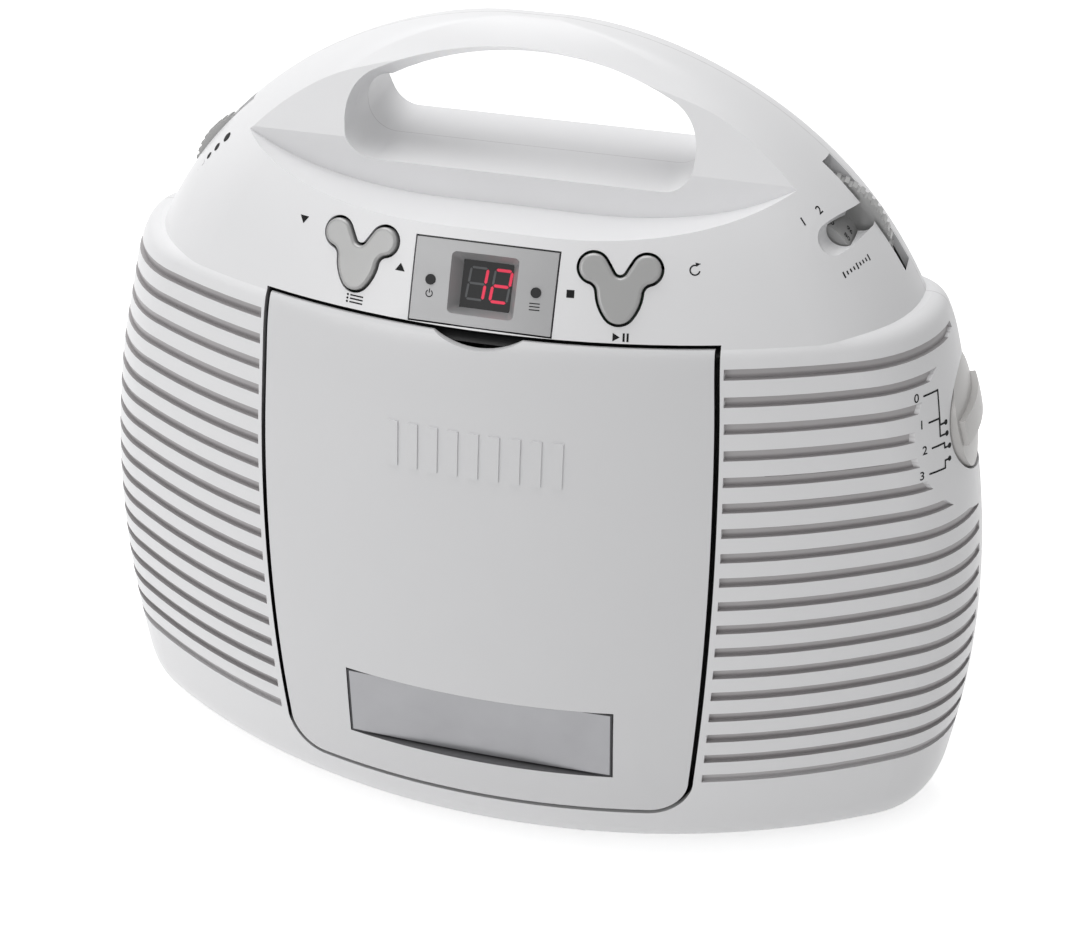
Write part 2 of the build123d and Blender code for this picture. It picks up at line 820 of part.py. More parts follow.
def disc_door():
    """Curved door skin with its pad, hinge arms, liner bosses and raised bars."""
    skin = lower_half(-1)
    inner = plain_core(-1, door_shell)
    leaf = (skin - inner) & door_prism(0.0, door_top, -120.0, -30.0)
    lip = box((-90, 90), (-120, -20), (0.0, door_bottom + door_lip_height))
    leaf -= plain_core(-1, door_lip_shell) & lip
    edge = badge_half_width + 2.5
    pad = box((-edge, edge), (-90.0, pad_face), (badge_low - 2.6, badge_high + 2.6))
    leaf += plain_core(-1, 1.0) & pad
    leaf -= badge_slab(badge_gap, 12.0)
    notch_radius = (notch_half_width**2 + notch_depth**2) / (2 * notch_depth)
    leaf -= front_rod(0.0, door_top - notch_depth + notch_radius, notch_radius, -90.0, -50.0)
    for x in (-hinge_arm_x, hinge_arm_x):
        limits = (x - hinge_arm_width / 2, x + hinge_arm_width / 2)
        arm = rod(across(hinge_y, hinge_z, x), hinge_boss_radius, -hinge_arm_width / 2, hinge_arm_width / 2)
        arm += box(limits, (hinge_y - arm_bar_front, hinge_y + hinge_boss_radius), (hinge_z, arm_bar_high))
        arm += box(limits, (-66.5, hinge_y), (arm_bar_low, arm_bar_high))
        arm -= rod(across(hinge_y, hinge_z, x), hinge_pin_radius + running_fit, -9.0, 9.0)
        leaf += arm
    for x, z in liner_bosses():
        leaf += front_rod(x, z, liner_boss_radius, -(skin_y(x, z, -1) - door_shell / 2), liner_front)
        leaf -= front_rod(x, z, screw_radius, liner_front - 5.0, liner_front)
    ribs = []
    for index in range(bar_count):
        x = (index - (bar_count - 1) / 2) * bar_pitch
        ribs.append(box((x - bar_width / 2, x + bar_width / 2), (-90, -60), bar_limits()))
    raised = (ribs[0].fuse(*ribs[1:]) & lower_half(-1, -bar_height)) - plain_core(-1, 1.0)
    return leaf + raised


def bar_limits():
    return (bar_middle - bar_length / 2, bar_middle + bar_length / 2)


def liner_bosses():
    reach = (-liner_boss_reach, liner_boss_reach)
    return [(x, disc_z + z) for x in reach for z in reach]


def badge_slab(grow, forward):
    """Gently bowed name plate without a name, or its pocket when grown and carried forward."""
    half = badge_half_width + grow
    low = badge_low - grow
    height = badge_high - badge_low + 2 * grow
    radius = (badge_half_width**2 + badge_bow**2) / (2 * badge_bow)
    first = skin_y(badge_half_width, badge_low, -1)
    lean = (skin_y(badge_half_width, badge_high, -1) - first) / (badge_high - badge_low)
    middle_y = -(first + badge_proud + badge_bow) + lean * grow
    edge_y = middle_y + radius - sqrt(radius**2 - half**2)
    back = badge_thickness
    face = [
        ThreePointArc((-half, edge_y - forward, low), (0, middle_y - forward, low), (half, edge_y - forward, low)),
        Line((half, edge_y - forward, low), (half, edge_y + back, low)),
        ThreePointArc((half, edge_y + back, low), (0, middle_y + back, low), (-half, edge_y + back, low)),
        Line((-half, edge_y + back, low), (-half, edge_y - forward, low)),
    ]
    rise = Vector(0, -lean, 1)
    return extrude(make_face(face), amount=rise.length * height, dir=rise.normalized())


def badge_plate():
    return badge_slab(0.0, 0.0)


def door_liner():
    """Round plate inside the door that backs the disc and holds the clamp."""
    plate = front_rod(0.0, disc_z, liner_radius, liner_front, liner_front + liner_plate)
    plate += front_rod(0.0, disc_z, liner_radius, liner_front - 1.2, liner_front) - front_rod(
        0.0, disc_z, liner_radius - 2.0, liner_front - 1.2, liner_front
    )
    plate -= front_rod(0.0, disc_z, puck_stem + puck_clear, liner_front - 2, liner_front + 3)
    for x, z in liner_bosses():
        plate -= front_rod(x, z, screw_radius + 0.1, liner_front - 2, liner_front + 3)
    return plate


def liner_screws():
    return many([driven_screw(x, z, liner_front + liner_plate, 5.5, -1) for x, z in liner_bosses()])


def many(solids):
    """Separate solids kept together in one node."""
    return Compound(children=list(solids))


def driven_screw(x, z, seat_y, length, side):
    """Pan-head screw along Y: its head lies behind the seat, its shank points to the given side."""
    head = front_rod(x, z, screw_head_radius, seat_y, seat_y - side * screw_head_height)
    slot_floor = seat_y - side * (screw_head_height - 0.7)
    slot_top = seat_y - side * (screw_head_height + 1.0)
    slot = box((x - 2.0, x + 2.0), sorted((slot_floor, slot_top)), (z - 0.3, z + 0.3))
    return head - slot + front_rod(x, z, screw_radius - 0.05, seat_y, seat_y + side * length)


def clamp_puck():
    """Magnetic clamp: a disc, a stem through the liner and a keeper ring."""
    back = liner_front + liner_plate
    puck = front_rod(0.0, disc_z, puck_radius, back + puck_clear, back + puck_clear + 2.6)
    puck += front_rod(0.0, disc_z, puck_stem, liner_front - puck_clear - 1.4, back + puck_clear)
    puck += front_rod(0.0, disc_z, puck_stem + 2.0, liner_front - puck_clear - 1.4, liner_front - puck_clear)
    puck -= front_rod(0.0, disc_z, 3.0, back + puck_clear + 1.6, back + puck_clear + 2.6)
    return puck


def hinge_pins():
    lines = [across(hinge_y, hinge_z, x) for x in (-hinge_arm_x, hinge_arm_x)]
    return many([rod(line, hinge_pin_radius, -hinge_span(), hinge_span()) for line in lines])


def disc_well():
    """Well behind the door: side walls, back plate, disc recess, hub hole and pickup slot."""
    outer = door_gap + well_clear + well_skin
    ring = door_prism(outer, well_top, -90.0, well_back)
    ring -= door_prism(door_gap + well_clear, well_top - well_skin, -91.0, well_back - well_plate)
    well = ring & lower_half(-1, wall, beyond=1.0)
    wall_ring = front_rod(0.0, disc_z, recess_ring + 2.0, well_back - 5.0, well_back - 1.0)
    well += wall_ring - front_rod(0.0, disc_z, recess_ring, well_back - 6.0, well_back)
    well -= front_rod(0.0, disc_z, turntable_radius + 1.5, well_back - 6.0, well_back + 1.0)
    slot_half = turret_half + 2.5
    well -= box((-slot_half, slot_half), (well_back - 6.0, well_back + 1.0), (36.0, disc_z - turntable_radius))
    for x in (-hinge_arm_x, hinge_arm_x):
        half = hinge_arm_width / 2 + 1.0
        well -= box((x - half, x + half), (-90.0, hinge_y + 4.5), (10.0, 28.0))
    for x, z in chassis_places():
        well -= front_rod(x, z, screw_radius, well_back - well_plate / 2, well_back)
    return well


def chassis_places():
    rises = (-chassis_screw_low, chassis_screw_high)
    return [(x, disc_z + z) for x in (-chassis_screw_x, chassis_screw_x) for z in rises]


def drive_chassis():
    """Plate behind the well that carries the spindle motor, the guide rods and the pickup motor."""
    plate = box((-chassis_half, chassis_half), (chassis_y, chassis_y + chassis_plate), (chassis_low, chassis_high))
    plate -= front_rod(0.0, disc_z, 5.0, chassis_y - 1, chassis_y + 3)
    plate -= box((-turret_half - 2, turret_half + 2), (chassis_y - 1, chassis_y + 3), (33.0, 92.0))
    back = chassis_y + chassis_plate
    for x in (-rod_x, rod_x):
        for z in (rod_low, rod_high - rod_bracket):
            plate += box((x - 3.0, x + 3.0), (back, back + 5.6), (z, z + rod_bracket))
        plate -= upright(x, rod_y, rod_radius, rod_low, rod_high)
    arm_x = gear_x() + gear_module * (gear_teeth / 2 + 1) + 0.4
    motor_edge = gear_x() + sled_motor_radius
    plate += box((arm_x, arm_x + 2.5), (back, back + 9.0), (gear_z - 3.0, gear_z + 3.0))
    plate += box((motor_edge - 0.6, arm_x + 2.5), (back + 4.6, back + 9.0), (gear_z - 3.0, gear_z + 3.0))
    plate -= front_rod(gear_x(), gear_z, sled_motor_radius, back + 4.4, back + 15.0)
    plate -= front_rod(gear_x(), gear_z, shaft_radius + running_fit, chassis_y - 1.0, back + 1.0)
    for x, z in chassis_places():
        plate -= front_rod(x, z, screw_radius + 0.1, chassis_y - 1, back + 1)
    return plate


def gear_x():
    """The pickup gear's axis: one pitch radius beyond the rack's pitch line."""
    return rack_x + gear_module * gear_teeth / 2


def drive_isolators():
    pads = []
    for x, z in chassis_places():
        hole = front_rod(x, z, screw_radius + 0.1, well_back, chassis_y)
        pads.append(front_rod(x, z, 4.0, well_back, chassis_y) - hole)
    return many(pads)


def chassis_screws():
    return many([driven_screw(x, z, chassis_y + chassis_plate, 5.0, -1) for x, z in chassis_places()])


def spindle_motor():
    back = chassis_y + chassis_plate
    can = front_rod(0.0, disc_z, motor_radius, back, back + motor_length)
    can += front_rod(0.0, disc_z, 4.8, chassis_y, back)
    return can - front_rod(0.0, disc_z, spindle_radius + running_fit, chassis_y, back + 6.0)


def turntable_hub():
    """Turntable with its centring boss and spindle."""
    seat = disc_y + 0.3
    hub = front_rod(0.0, disc_z, turntable_radius, seat, seat + 2.5)
    hub += front_rod(0.0, disc_z, 7.3, seat - 2.6, seat)
    hub += front_rod(0.0, disc_z, 3.2, seat + 2.5, chassis_y - 0.4)
    return hub + front_rod(0.0, disc_z, spindle_radius, seat, chassis_y + chassis_plate + 5.0)


def guide_rods():
    return many([upright(x, rod_y, rod_radius, rod_low, rod_high) for x in (-rod_x, rod_x)])


def tooth(width_pitch, addendum, dedendum):
    """Trapezoid tooth outline about its pitch line, pointing along +X."""
    slope = 0.36
    half = width_pitch / 2
    return make_face(
        Polyline(
            (-dedendum, -half - dedendum * slope),
            (addendum, -half + addendum * slope),
            (addendum, half - addendum * slope),
            (-dedendum, half + dedendum * slope),
            close=True,
        )
    )


def pickup_sled():
    """Pickup sled on its two rods, with the lens turret and the rack."""
    back = chassis_y + chassis_plate
    sled = box((-rod_x - 3.3, rod_x + 3.3), (back + 0.6, back + 5.6), (sled_z - 7.0, sled_z + 7.0))
    sled += box((-turret_half, turret_half), (turret_front, back + 0.6), (sled_z - 6.5, sled_z + 6.5))
    for x in (-rod_x, rod_x):
        sled -= upright(x, rod_y, rod_radius + running_fit, sled_z - 9.0, sled_z + 9.0)
    sled -= front_rod(0.0, sled_z, lens_radius + running_fit, turret_front - 1.0, turret_front + 3.0)
    width = pi * gear_module
    count = 15
    root = rack_x - 1.25 * gear_module
    rack_depth = (gear_front - 0.1, gear_front + gear_thickness + 0.1)
    sled += box((rod_x + 3.0, root + 0.01), rack_depth, (sled_z - 20, sled_z + 20))
    outline = tooth(width / 2 - mesh_clearance, 0.9 * gear_module, 1.25 * gear_module)
    for index in range(count):
        z = sled_z + (index - (count - 1) / 2) * width + rack_phase()
        face = Plane(origin=(rack_x, gear_front - 0.1, z), x_dir=(1, 0, 0), z_dir=(0, -1, 0)) * outline
        sled += extrude(face, amount=gear_thickness + 0.2, dir=Vector(0, 1, 0))
    return sled


def rack_phase():
    """Shift that puts a gap of the rack opposite the gear tooth that points at it."""
    width = pi * gear_module
    return (gear_z - sled_z) - width * round((gear_z - sled_z) / width) + width / 2


def pickup_gear():
    """Gear and shaft of the pickup motor."""
    pitch = gear_module * gear_teeth / 2
    gear = front_rod(gear_x(), gear_z, pitch - 1.25 * gear_module, gear_front, gear_front + gear_thickness)
    outline = tooth(pi * gear_module / 2 - mesh_clearance, 0.9 * gear_module, 1.6 * gear_module)
    for index in range(gear_teeth):
        turn = 180 + index * 360 / gear_teeth
        face = Plane(origin=(gear_x(), gear_front, gear_z), x_dir=(1, 0, 0), z_dir=(0, -1, 0)) * (
            Rot(0, 0, turn) * Pos(pitch, 0) * outline
        )
        gear += extrude(face, amount=gear_thickness, dir=Vector(0, 1, 0))
    back = chassis_y + chassis_plate
    return gear + front_rod(gear_x(), gear_z, shaft_radius, chassis_y + 0.2, back + 10.0)


def pickup_motor():
    back = chassis_y + chassis_plate
    can = front_rod(gear_x(), gear_z, sled_motor_radius, back + 4.4, back + 15.0)
    return can - front_rod(gear_x(), gear_z, shaft_radius + running_fit, back + 4.0, back + 10.5)


def pickup_lens():
    lens = front_rod(0.0, sled_z, lens_radius, turret_front - 1.6, turret_front + 2.2)
    return lens - front_rod(0.0, sled_z, lens_radius - 1.0, turret_front - 1.6, turret_front - 1.2)


def key_cap(side):
    """Three-lobed key with a rounded edge."""
    cap = prism(key_outline(), key_plane(side), -key_depth, key_proud)
    rim = cap.faces().sort_by(lambda face: (face.center() - key_plane(side).origin).dot(key_plane(side).z_dir))[-1]
    cap = fillet(rim.edges(), key_edge)
    for v in (-1, 1):
        middle = v * (pivot_reach - pivot_ear / 2)
        low = -pivot_depth - pivot_ear_width / 2
        cap += block(key_plane(side), pivot_ear_width, pivot_ear, low, -key_depth, (0.0, middle))
    return cap - pivot_pin(side, 1, pivot_radius + running_fit, pivot_reach + 1.0)


def pivot_pin(side, turned, radius, reach):
    """Round pin through a key's pivot, along the panel or up it."""
    plane = key_plane(side, pivot_depth)
    along = plane.y_dir if turned else plane.x_dir
    return Plane(origin=plane.origin, x_dir=plane.z_dir, z_dir=along) * Cylinder(radius, 2 * reach)


def key_rocker(side):
    """Pivot cross under a key: one pin rocks in the board's ears, the other carries the key."""
    half = pivot_block / 2
    cross = block(key_plane(side), pivot_block, pivot_block, -pivot_depth - half, -pivot_depth + half)
    return cross + pivot_pin(side, 0, pivot_radius, pivot_reach) + pivot_pin(side, 1, pivot_radius, pivot_reach)


def key_board(side):
    """Circuit board under a key, with two ears that hold the pivot."""
    plane = key_plane(side)
    board = block(plane, 2 * key_boss_u + 6.0, 17.0, -board_depth - board_thickness, -board_depth, (0.0, -1.0))
    for u in (-1, 1):
        middle = u * (pivot_reach - pivot_ear / 2)
        top = -pivot_depth + pivot_ear_width / 2
        board += block(plane, pivot_ear, pivot_ear_width, -board_depth, top, (middle, 0.0))
    return board - pivot_pin(side, 0, pivot_radius + running_fit, pivot_reach + 1.0)


def key_switches(side):
    """Three tact switches under the lobes of a key."""
    parts = []
    top = -key_depth - switch_gap
    for at in ((-ear_spread, ear_rise - 3.0), (ear_spread, ear_rise - 3.0), (0.0, -6.6)):
        body = block(key_plane(side), switch_body, switch_body, -board_depth, -board_depth + switch_rise, at)
        parts.append(body + rod(key_plane(side), 1.2, -board_depth + switch_rise, top, at))
    return many(parts)


def display_plane():
    return panel_plane(0.0, display_z)


def funnel():
    """Tapered opening in front of the display window."""
    plane = display_plane()
    wide = Plane(origin=plane.origin + plane.z_dir * 2.0, x_dir=plane.x_dir, z_dir=plane.z_dir)
    deep = Plane(origin=plane.origin - plane.z_dir * funnel_depth, x_dir=plane.x_dir, z_dir=plane.z_dir)
    outer = wide * RectangleRounded(window_width + 7.0, window_height + 5.6, 1.5)
    inner = deep * RectangleRounded(window_width, window_height, 1.0)
    return loft([inner, outer])


def display_bezel():
    """Curved silver plate with the display funnel and two lamp holes."""
    plane = display_plane()
    plate = upper_half(-1, -bezel_proud) - upper_half(-1, bezel_seat - 0.05, beyond=1.0)
    bezel = plate & block(plane, bezel_width, bezel_height, -8.0, 6.0)
    bezel += block(plane, window_width + 6.0, window_height + 4.0, -collar_depth, -1.0)
    bezel -= funnel()
    bezel -= block(plane, window_width, window_height, -collar_depth - 1.0, -funnel_depth + 0.5)
    for x in (-lamp_x, lamp_x):
        bezel -= rod(plane, lamp_radius, -8.0, 6.0, (x, 0.0))
    return bezel


def display_window():
    return block(display_plane(), window_width, window_height, -funnel_depth - 1.2, -funnel_depth)


def display_module():
    return block(display_plane(), window_width + 7.0, window_height + 4.4, -board_depth, -collar_depth)


def display_board():
    return block(display_plane(), 36.0, 18.0, -board_depth - board_thickness, -board_depth)


def indicator_lamps():
    return many([rod(display_plane(), lamp_radius - 0.05, -board_depth, 0.1, (x, 0.0)) for x in (-lamp_x, lamp_x)])


def thumbwheel(side):
    """Knurled thumbwheel with its shaft; the tuning wheel also carries a dial drum."""
    plane = wheel_plane(side)
    wheel = rod(plane, wheel_radius, -wheel_back, -wheel_front)
    nicks = []
    for index in range(wheel_teeth):
        turn = 2 * pi * index / wheel_teeth
        at = (wheel_radius * cos(turn), wheel_radius * sin(turn))
        nicks.append(rod(plane, 0.7, -wheel_back - 1, -wheel_front + 1, at))
    wheel -= nicks[0].fuse(*nicks[1:])
    wheel -= rod(plane, wheel_radius - 3.5, -wheel_front - 0.5, -wheel_front + 1.0) - rod(
        plane, 8.0, -wheel_front - 1.0, -wheel_front + 2.0
    )
    if side > 0:
        wheel += rod(plane, dial_radius, -wheel_front - 0.5, -dial_front)
    return wheel + rod(plane, control_shaft_radius, -wheel_back, -control_front - 6.0)


def wheel_control(side, width, depth):
    """Control that a thumbwheel turns, seated under the ceiling of the upper housing."""
    centre = wheel_centre(side)
    body = box(
        (centre.X - width / 2, centre.X + width / 2),
        (control_front, control_front + depth),
        (centre.Z - width / 2, upper_cavity_top),
    )
    shaft = rod(wheel_plane(side), control_shaft_radius + running_fit, -control_front - 7.0, -control_front + 1.0)
    return body - shaft


def selector_knob():
    """Domed selector knob with a grip bar and its shaft."""
    low = -knob_pocket_depth + knob_seat_gap
    top = knob_rim + knob_dome
    shoulder = knob_rim + 0.74 * knob_dome
    section = [
        Line((0, 0, low), (knob_radius, 0, low)),
        Line((knob_radius, 0, low), (knob_radius, 0, knob_rim)),
        ThreePointArc((knob_radius, 0, knob_rim), (knob_radius / 2, 0, shoulder), (0, 0, top)),
        Line((0, 0, top), (0, 0, low)),
    ]
    knob = revolve(make_face(section), Axis.Z, 360)
    grip = Pos(0, 0, (knob_grip - 2.0) / 2) * Box(2 * knob_radius - 3.0, knob_grip_width, knob_grip + 2.0)
    knob += grip & (Pos(0, 0, knob_grip - knob_grip_bow) * Sphere(knob_grip_bow))
    knob += Pos(0, 0, -knob_pocket_depth) * Cylinder(knob_shaft_radius, 2 * knob_pocket_depth)
    return knob_plane() * knob


def selector_switch():
    """Rotary switch behind the knob's cup."""
    seat = knob_plane()
    floor = -knob_pocket_depth - knob_cup_wall
    body = block(seat, 18.0, 18.0, floor - 8.0, floor)
    return body - rod(seat, knob_shaft_radius + running_fit, floor - 6.0, floor + 1.0)


def speaker_frame(side):
    """Square speaker frame with its basket."""
    plane = speaker_plane(side)
    frame = block(plane, 2 * speaker_half, 2 * speaker_half, -1.6, 0.0)
    basket = rod(plane, speaker_cone_radius + 1.0, -6.0, -1.6)
    middle = Plane(origin=plane.origin - plane.z_dir * 11.0, x_dir=plane.x_dir, z_dir=plane.z_dir)
    basket += middle * Cone(magnet_radius, speaker_cone_radius + 1.0, 10.0)
    hollow = rod(plane, speaker_cone_radius, -5.6, 1.0)
    hollow += middle * Pos(0, 0, 0.4) * Cone(magnet_radius - 2.0, speaker_cone_radius, 10.4)
    frame = frame + basket - hollow
    for u in (-1, 1):
        for v in (-1, 1):
            frame -= rod(plane, screw_radius + 0.1, -3.0, 1.0, (u * speaker_hole, v * speaker_hole))
    return frame


def speaker_cone(side):
    """Paper cone with its dust cap."""
    plane = speaker_plane(side)
    middle = Plane(origin=plane.origin - plane.z_dir * 7.0, x_dir=plane.x_dir, z_dir=plane.z_dir)
    cone = middle * Cone(8.0, speaker_cone_radius - 0.4, 10.0)
    cone -= middle * Pos(0, 0, 0.8) * Cone(8.0, speaker_cone_radius - 0.4, 10.0)
    cap = middle * Pos(0, 0, -4.2) * Cylinder(8.2, 1.6)
    ring = rod(plane, speaker_cone_radius, -2.6, -1.2) - rod(plane, speaker_cone_radius - 3.0, -3.0, 0.0)
    return cone + cap + ring


def speaker_magnet(side):
    plane = speaker_plane(side)
    return rod(plane, magnet_radius - 0.5, -16.0 - magnet_length, -16.0)


def speaker_screws():
    parts = []
    for side in (-1, 1):
        plane = speaker_plane(side)
        for u in (-1, 1):
            for v in (-1, 1):
                at = (u * speaker_hole, v * speaker_hole)
                parts.append(
                    rod(plane, screw_head_radius, -1.6 - screw_head_height, -1.6, at)
                    + rod(plane, screw_radius - 0.05, -1.6, speaker_boss - 0.1, at)
                )
    return many(parts)


def housing_screws():
    return many([driven_screw(x, z, screw_seat, screw_seat + screw_bite - 1.0, -1) for x, z in screw_places()])


def battery_lid():
    """Battery cover, flush with the curved back, with a finger notch."""
    edge = bay_half_width + bay_wall - lid_gap
    opening = box((-edge, edge), (20.0, 90.0), (bay_low - bay_wall + lid_gap, bay_high + bay_wall - lid_gap))
    lid = (lower_half(1) - plain_core(1, lid_shell)) & opening
    top = bay_high + bay_wall - lid_gap
    grip = front_rod(0.0, top + 6.0, 12.0, 58.6, 90.0)
    return lid - grip


def battery_contacts():
    """Spring and plate contacts at both ends of the three battery rows."""
    parts = []
    for row in range(3):
        z = bay_low + (row + 0.5) * (bay_high - bay_low) / 3
        for side in (-1, 1):
            wall_x = side * bay_half_width
            limits = sorted((wall_x, wall_x - side * 0.6))
            plate = box(limits, (bay_floor_y + 4.0, bay_floor_y + 18.0), (z - 7.0, z + 7.0))
            height = 3.4 if side < 0 else 1.2
            cone = across(bay_floor_y + 11.0, z, wall_x - side * 0.6, -side)
            spring = rod(cone, 4.5, 0.0, height / 2) + rod(cone, 2.6, height / 2, height)
            parts.append(plate + spring)
    return many(parts)


def main_board():
    """Main circuit board on its four posts."""
    board = box((-board_half, board_half), (board_y, board_y + board_thickness), (board_low, board_high))
    for x, z in board_posts():
        board -= front_rod(x, z, screw_radius + 0.1, board_y - 1.0, board_y + 3.0)
    return board


def board_parts():
    """Heat sink, capacitors and chips on the front of the main board."""
    face = board_y
    parts = [box((-30.0 + 6 * i, -28.6 + 6 * i), (face - 12.0, face), (140.0, 156.0)) for i in range(5)]
    parts[0] = parts[0].fuse(*parts[1:]) + box((-30.0, -4.6), (face - 1.5, face), (140.0, 156.0))
    chips = [parts[0]]
    for x in (14.0, 26.0, 38.0):
        chips.append(front_rod(x, 148.0, 4.0, face - 11.0, face))
    chips.append(box((-30.0, -6.0), (face - 2.4, face), (114.0, 126.0)))
    chips.append(box((10.0, 36.0), (face - 2.4, face), (116.0, 124.0)))
    return many(chips)


def board_screws():
    return many([driven_screw(x, z, board_y, 8.0, 1) for x, z in board_posts()])


def transformer():
    """Mains transformer on the floor of the rear housing."""
    floor = foot_height + wall
    x = (transformer_x - 16.0, transformer_x + 16.0)
    core = box(x, (-12.0, 16.0), (floor, floor + 28.0))
    coil = box((transformer_x - 10.0, transformer_x + 10.0), (-18.0, 18.5), (floor + 5.0, floor + 23.0))
    tabs = box((transformer_x - 22.0, transformer_x + 22.0), (-5.0, 5.0), (floor, floor + 1.4))
    return core + coil + tabs


def mains_inlet():
    """Two-pin mains inlet, flush in the back."""
    plane = wall_plane(inlet_x, inlet_z, 1)
    body = block(plane, inlet_width - 0.4, inlet_height - 0.4, -18.0, 0.3)
    body -= block(plane, inlet_width - 4.0, inlet_height - 4.0, -13.0, 1.0)
    for u in (-3.6, 3.6):
        body += rod(plane, 1.15, -14.0, -3.0, (u, 0.0))
    return body


def audio_jacks():
    """Line input and headphone sockets."""
    parts = []
    for z in jack_heights:
        plane = wall_plane(jack_x, z, 1)
        jack = rod(plane, jack_collar - 0.1, -wall - 2.0, 0.6) + block(plane, 11.0, 12.0, -jack_length, -wall - 2.0)
        parts.append(jack - rod(plane, jack_bore, 0.6 - jack_length, 1.0))
    return many(parts)


def ferrite_rod():
    return rod(across(ferrite_y, ferrite_z), ferrite_radius, -ferrite_half, ferrite_half)


def rubber_feet():
    places = [(x, y) for x in (-foot_x, foot_x) for y in (foot_front, foot_rear)] + [(0.0, 0.0)]
    return many([upright(x, y, foot_radius - 0.02, 0.0, foot_height + foot_seat) for x, y in places])


def door_catch():
    """Spring clip under the well's top wall that holds the door's hook."""
    top = well_top - well_skin
    clip = box((-6.0, 6.0), (-52.0, -46.0), (top - 1.2, top))
    return clip + box((-6.0, 6.0), (-52.0, -51.2), (top - 5.0, top))


def aerial_base():
    """Aerial's turning knuckle, its pin and its outer tube."""
    turn = facing(1, aerial_x, aerial_z)
    knuckle = rod(turn, 4.6, aerial_lug_y + 0.1, aerial_y + aerial_radii[0])
    knuckle += rod(turn, aerial_pin_radius, aerial_lug_y - 8.0, aerial_lug_y + 0.1)
    tube = rod(across(aerial_y, aerial_z, aerial_x), aerial_radii[0], 0.0, aerial_length)
    bore = rod(across(aerial_y, aerial_z, aerial_x), aerial_radii[1] + aerial_fit, 8.0, aerial_length + 1.0)
    return knuckle + tube - bore


def aerial_middle():
    line = across(aerial_y, aerial_z, aerial_x)
    tube = rod(line, aerial_radii[1], 10.0, aerial_length + 3.0)
    return tube - rod(line, aerial_radii[2] + aerial_fit, 16.0, aerial_length + 4.0)


def aerial_tip():
    line = across(aerial_y, aerial_z, aerial_x)
    mast = rod(line, aerial_radii[2], 18.0, aerial_length + 4.0)
    return mast + rod(line, aerial_radii[0], aerial_length + 3.4, aerial_length + 7.0)


nodes = {
    "front_housing": front_housing,
    "rear_housing": rear_housing,
    "disc_door": disc_door,
    "badge_plate": badge_plate,
    "door_liner": door_liner,
    "liner_screws": liner_screws,
    "clamp_puck": clamp_puck,
    "hinge_pins": hinge_pins,
    "disc_well": disc_well,
    "door_catch": door_catch,
    "drive_chassis": drive_chassis,
    "drive_isolators": drive_isolators,
    "chassis_screws": chassis_screws,
    "spindle_motor": spindle_motor,
    "turntable_hub": turntable_hub,
    "guide_rods": guide_rods,
    "pickup_sled": pickup_sled,
    "pickup_lens": pickup_lens,
    "pickup_gear": pickup_gear,
    "pickup_motor": pickup_motor,
    "display_bezel": display_bezel,
    "display_window": display_window,
    "display_module": display_module,
    "display_board": display_board,
    "indicator_lamps": indicator_lamps,
    "selector_knob": selector_knob,
    "selector_switch": selector_switch,
    "speaker_screws": speaker_screws,
    "housing_screws": housing_screws,
    "battery_lid": battery_lid,
    "battery_contacts": battery_contacts,
    "main_board": main_board,
    "board_parts": board_parts,
    "board_screws": board_screws,
    "transformer": transformer,
    "mains_inlet": mains_inlet,
    "audio_jacks": audio_jacks,
    "ferrite_rod": ferrite_rod,
    "rubber_feet": rubber_feet,
    "aerial_base": aerial_base,
    "aerial_middle": aerial_middle,
    "aerial_tip": aerial_tip,
}
for word, side in (("left", -1), ("right", 1)):
    nodes[f"key_{word}"] = lambda side=side: key_cap(side)
    nodes[f"key_rocker_{word}"] = lambda side=side: key_rocker(side)
    nodes[f"key_board_{word}"] = lambda side=side: key_board(side)
    nodes[f"key_switches_{word}"] = lambda side=side: key_switches(side)
    nodes[f"speaker_frame_{word}"] = lambda side=side: speaker_frame(side)
    nodes[f"speaker_cone_{word}"] = lambda side=side: speaker_cone(side)
    nodes[f"speaker_magnet_{word}"] = lambda side=side: speaker_magnet(side)
nodes["volume_wheel"] = lambda: thumbwheel(-1)
nodes["tuning_wheel"] = lambda: thumbwheel(1)
nodes["volume_control"] = lambda: wheel_control(-1, volume_width, 8.0)
nodes["tuning_capacitor"] = lambda: wheel_control(1, capacitor_width, 12.0)

if __name__ == "__main__":
    for name, build in nodes.items():
        export_step(build(), f"parts/{name}.step")
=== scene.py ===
"""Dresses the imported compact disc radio: finishes, printed marks and the digits of the display."""

from __future__ import annotations

import json
import logging
import math
from dataclasses import dataclass
from enum import Enum
from typing import Any, Iterable, Sequence, Union

import bmesh
import bpy
from mathutils import Matrix, Vector
from mathutils.bvhtree import BVHTree

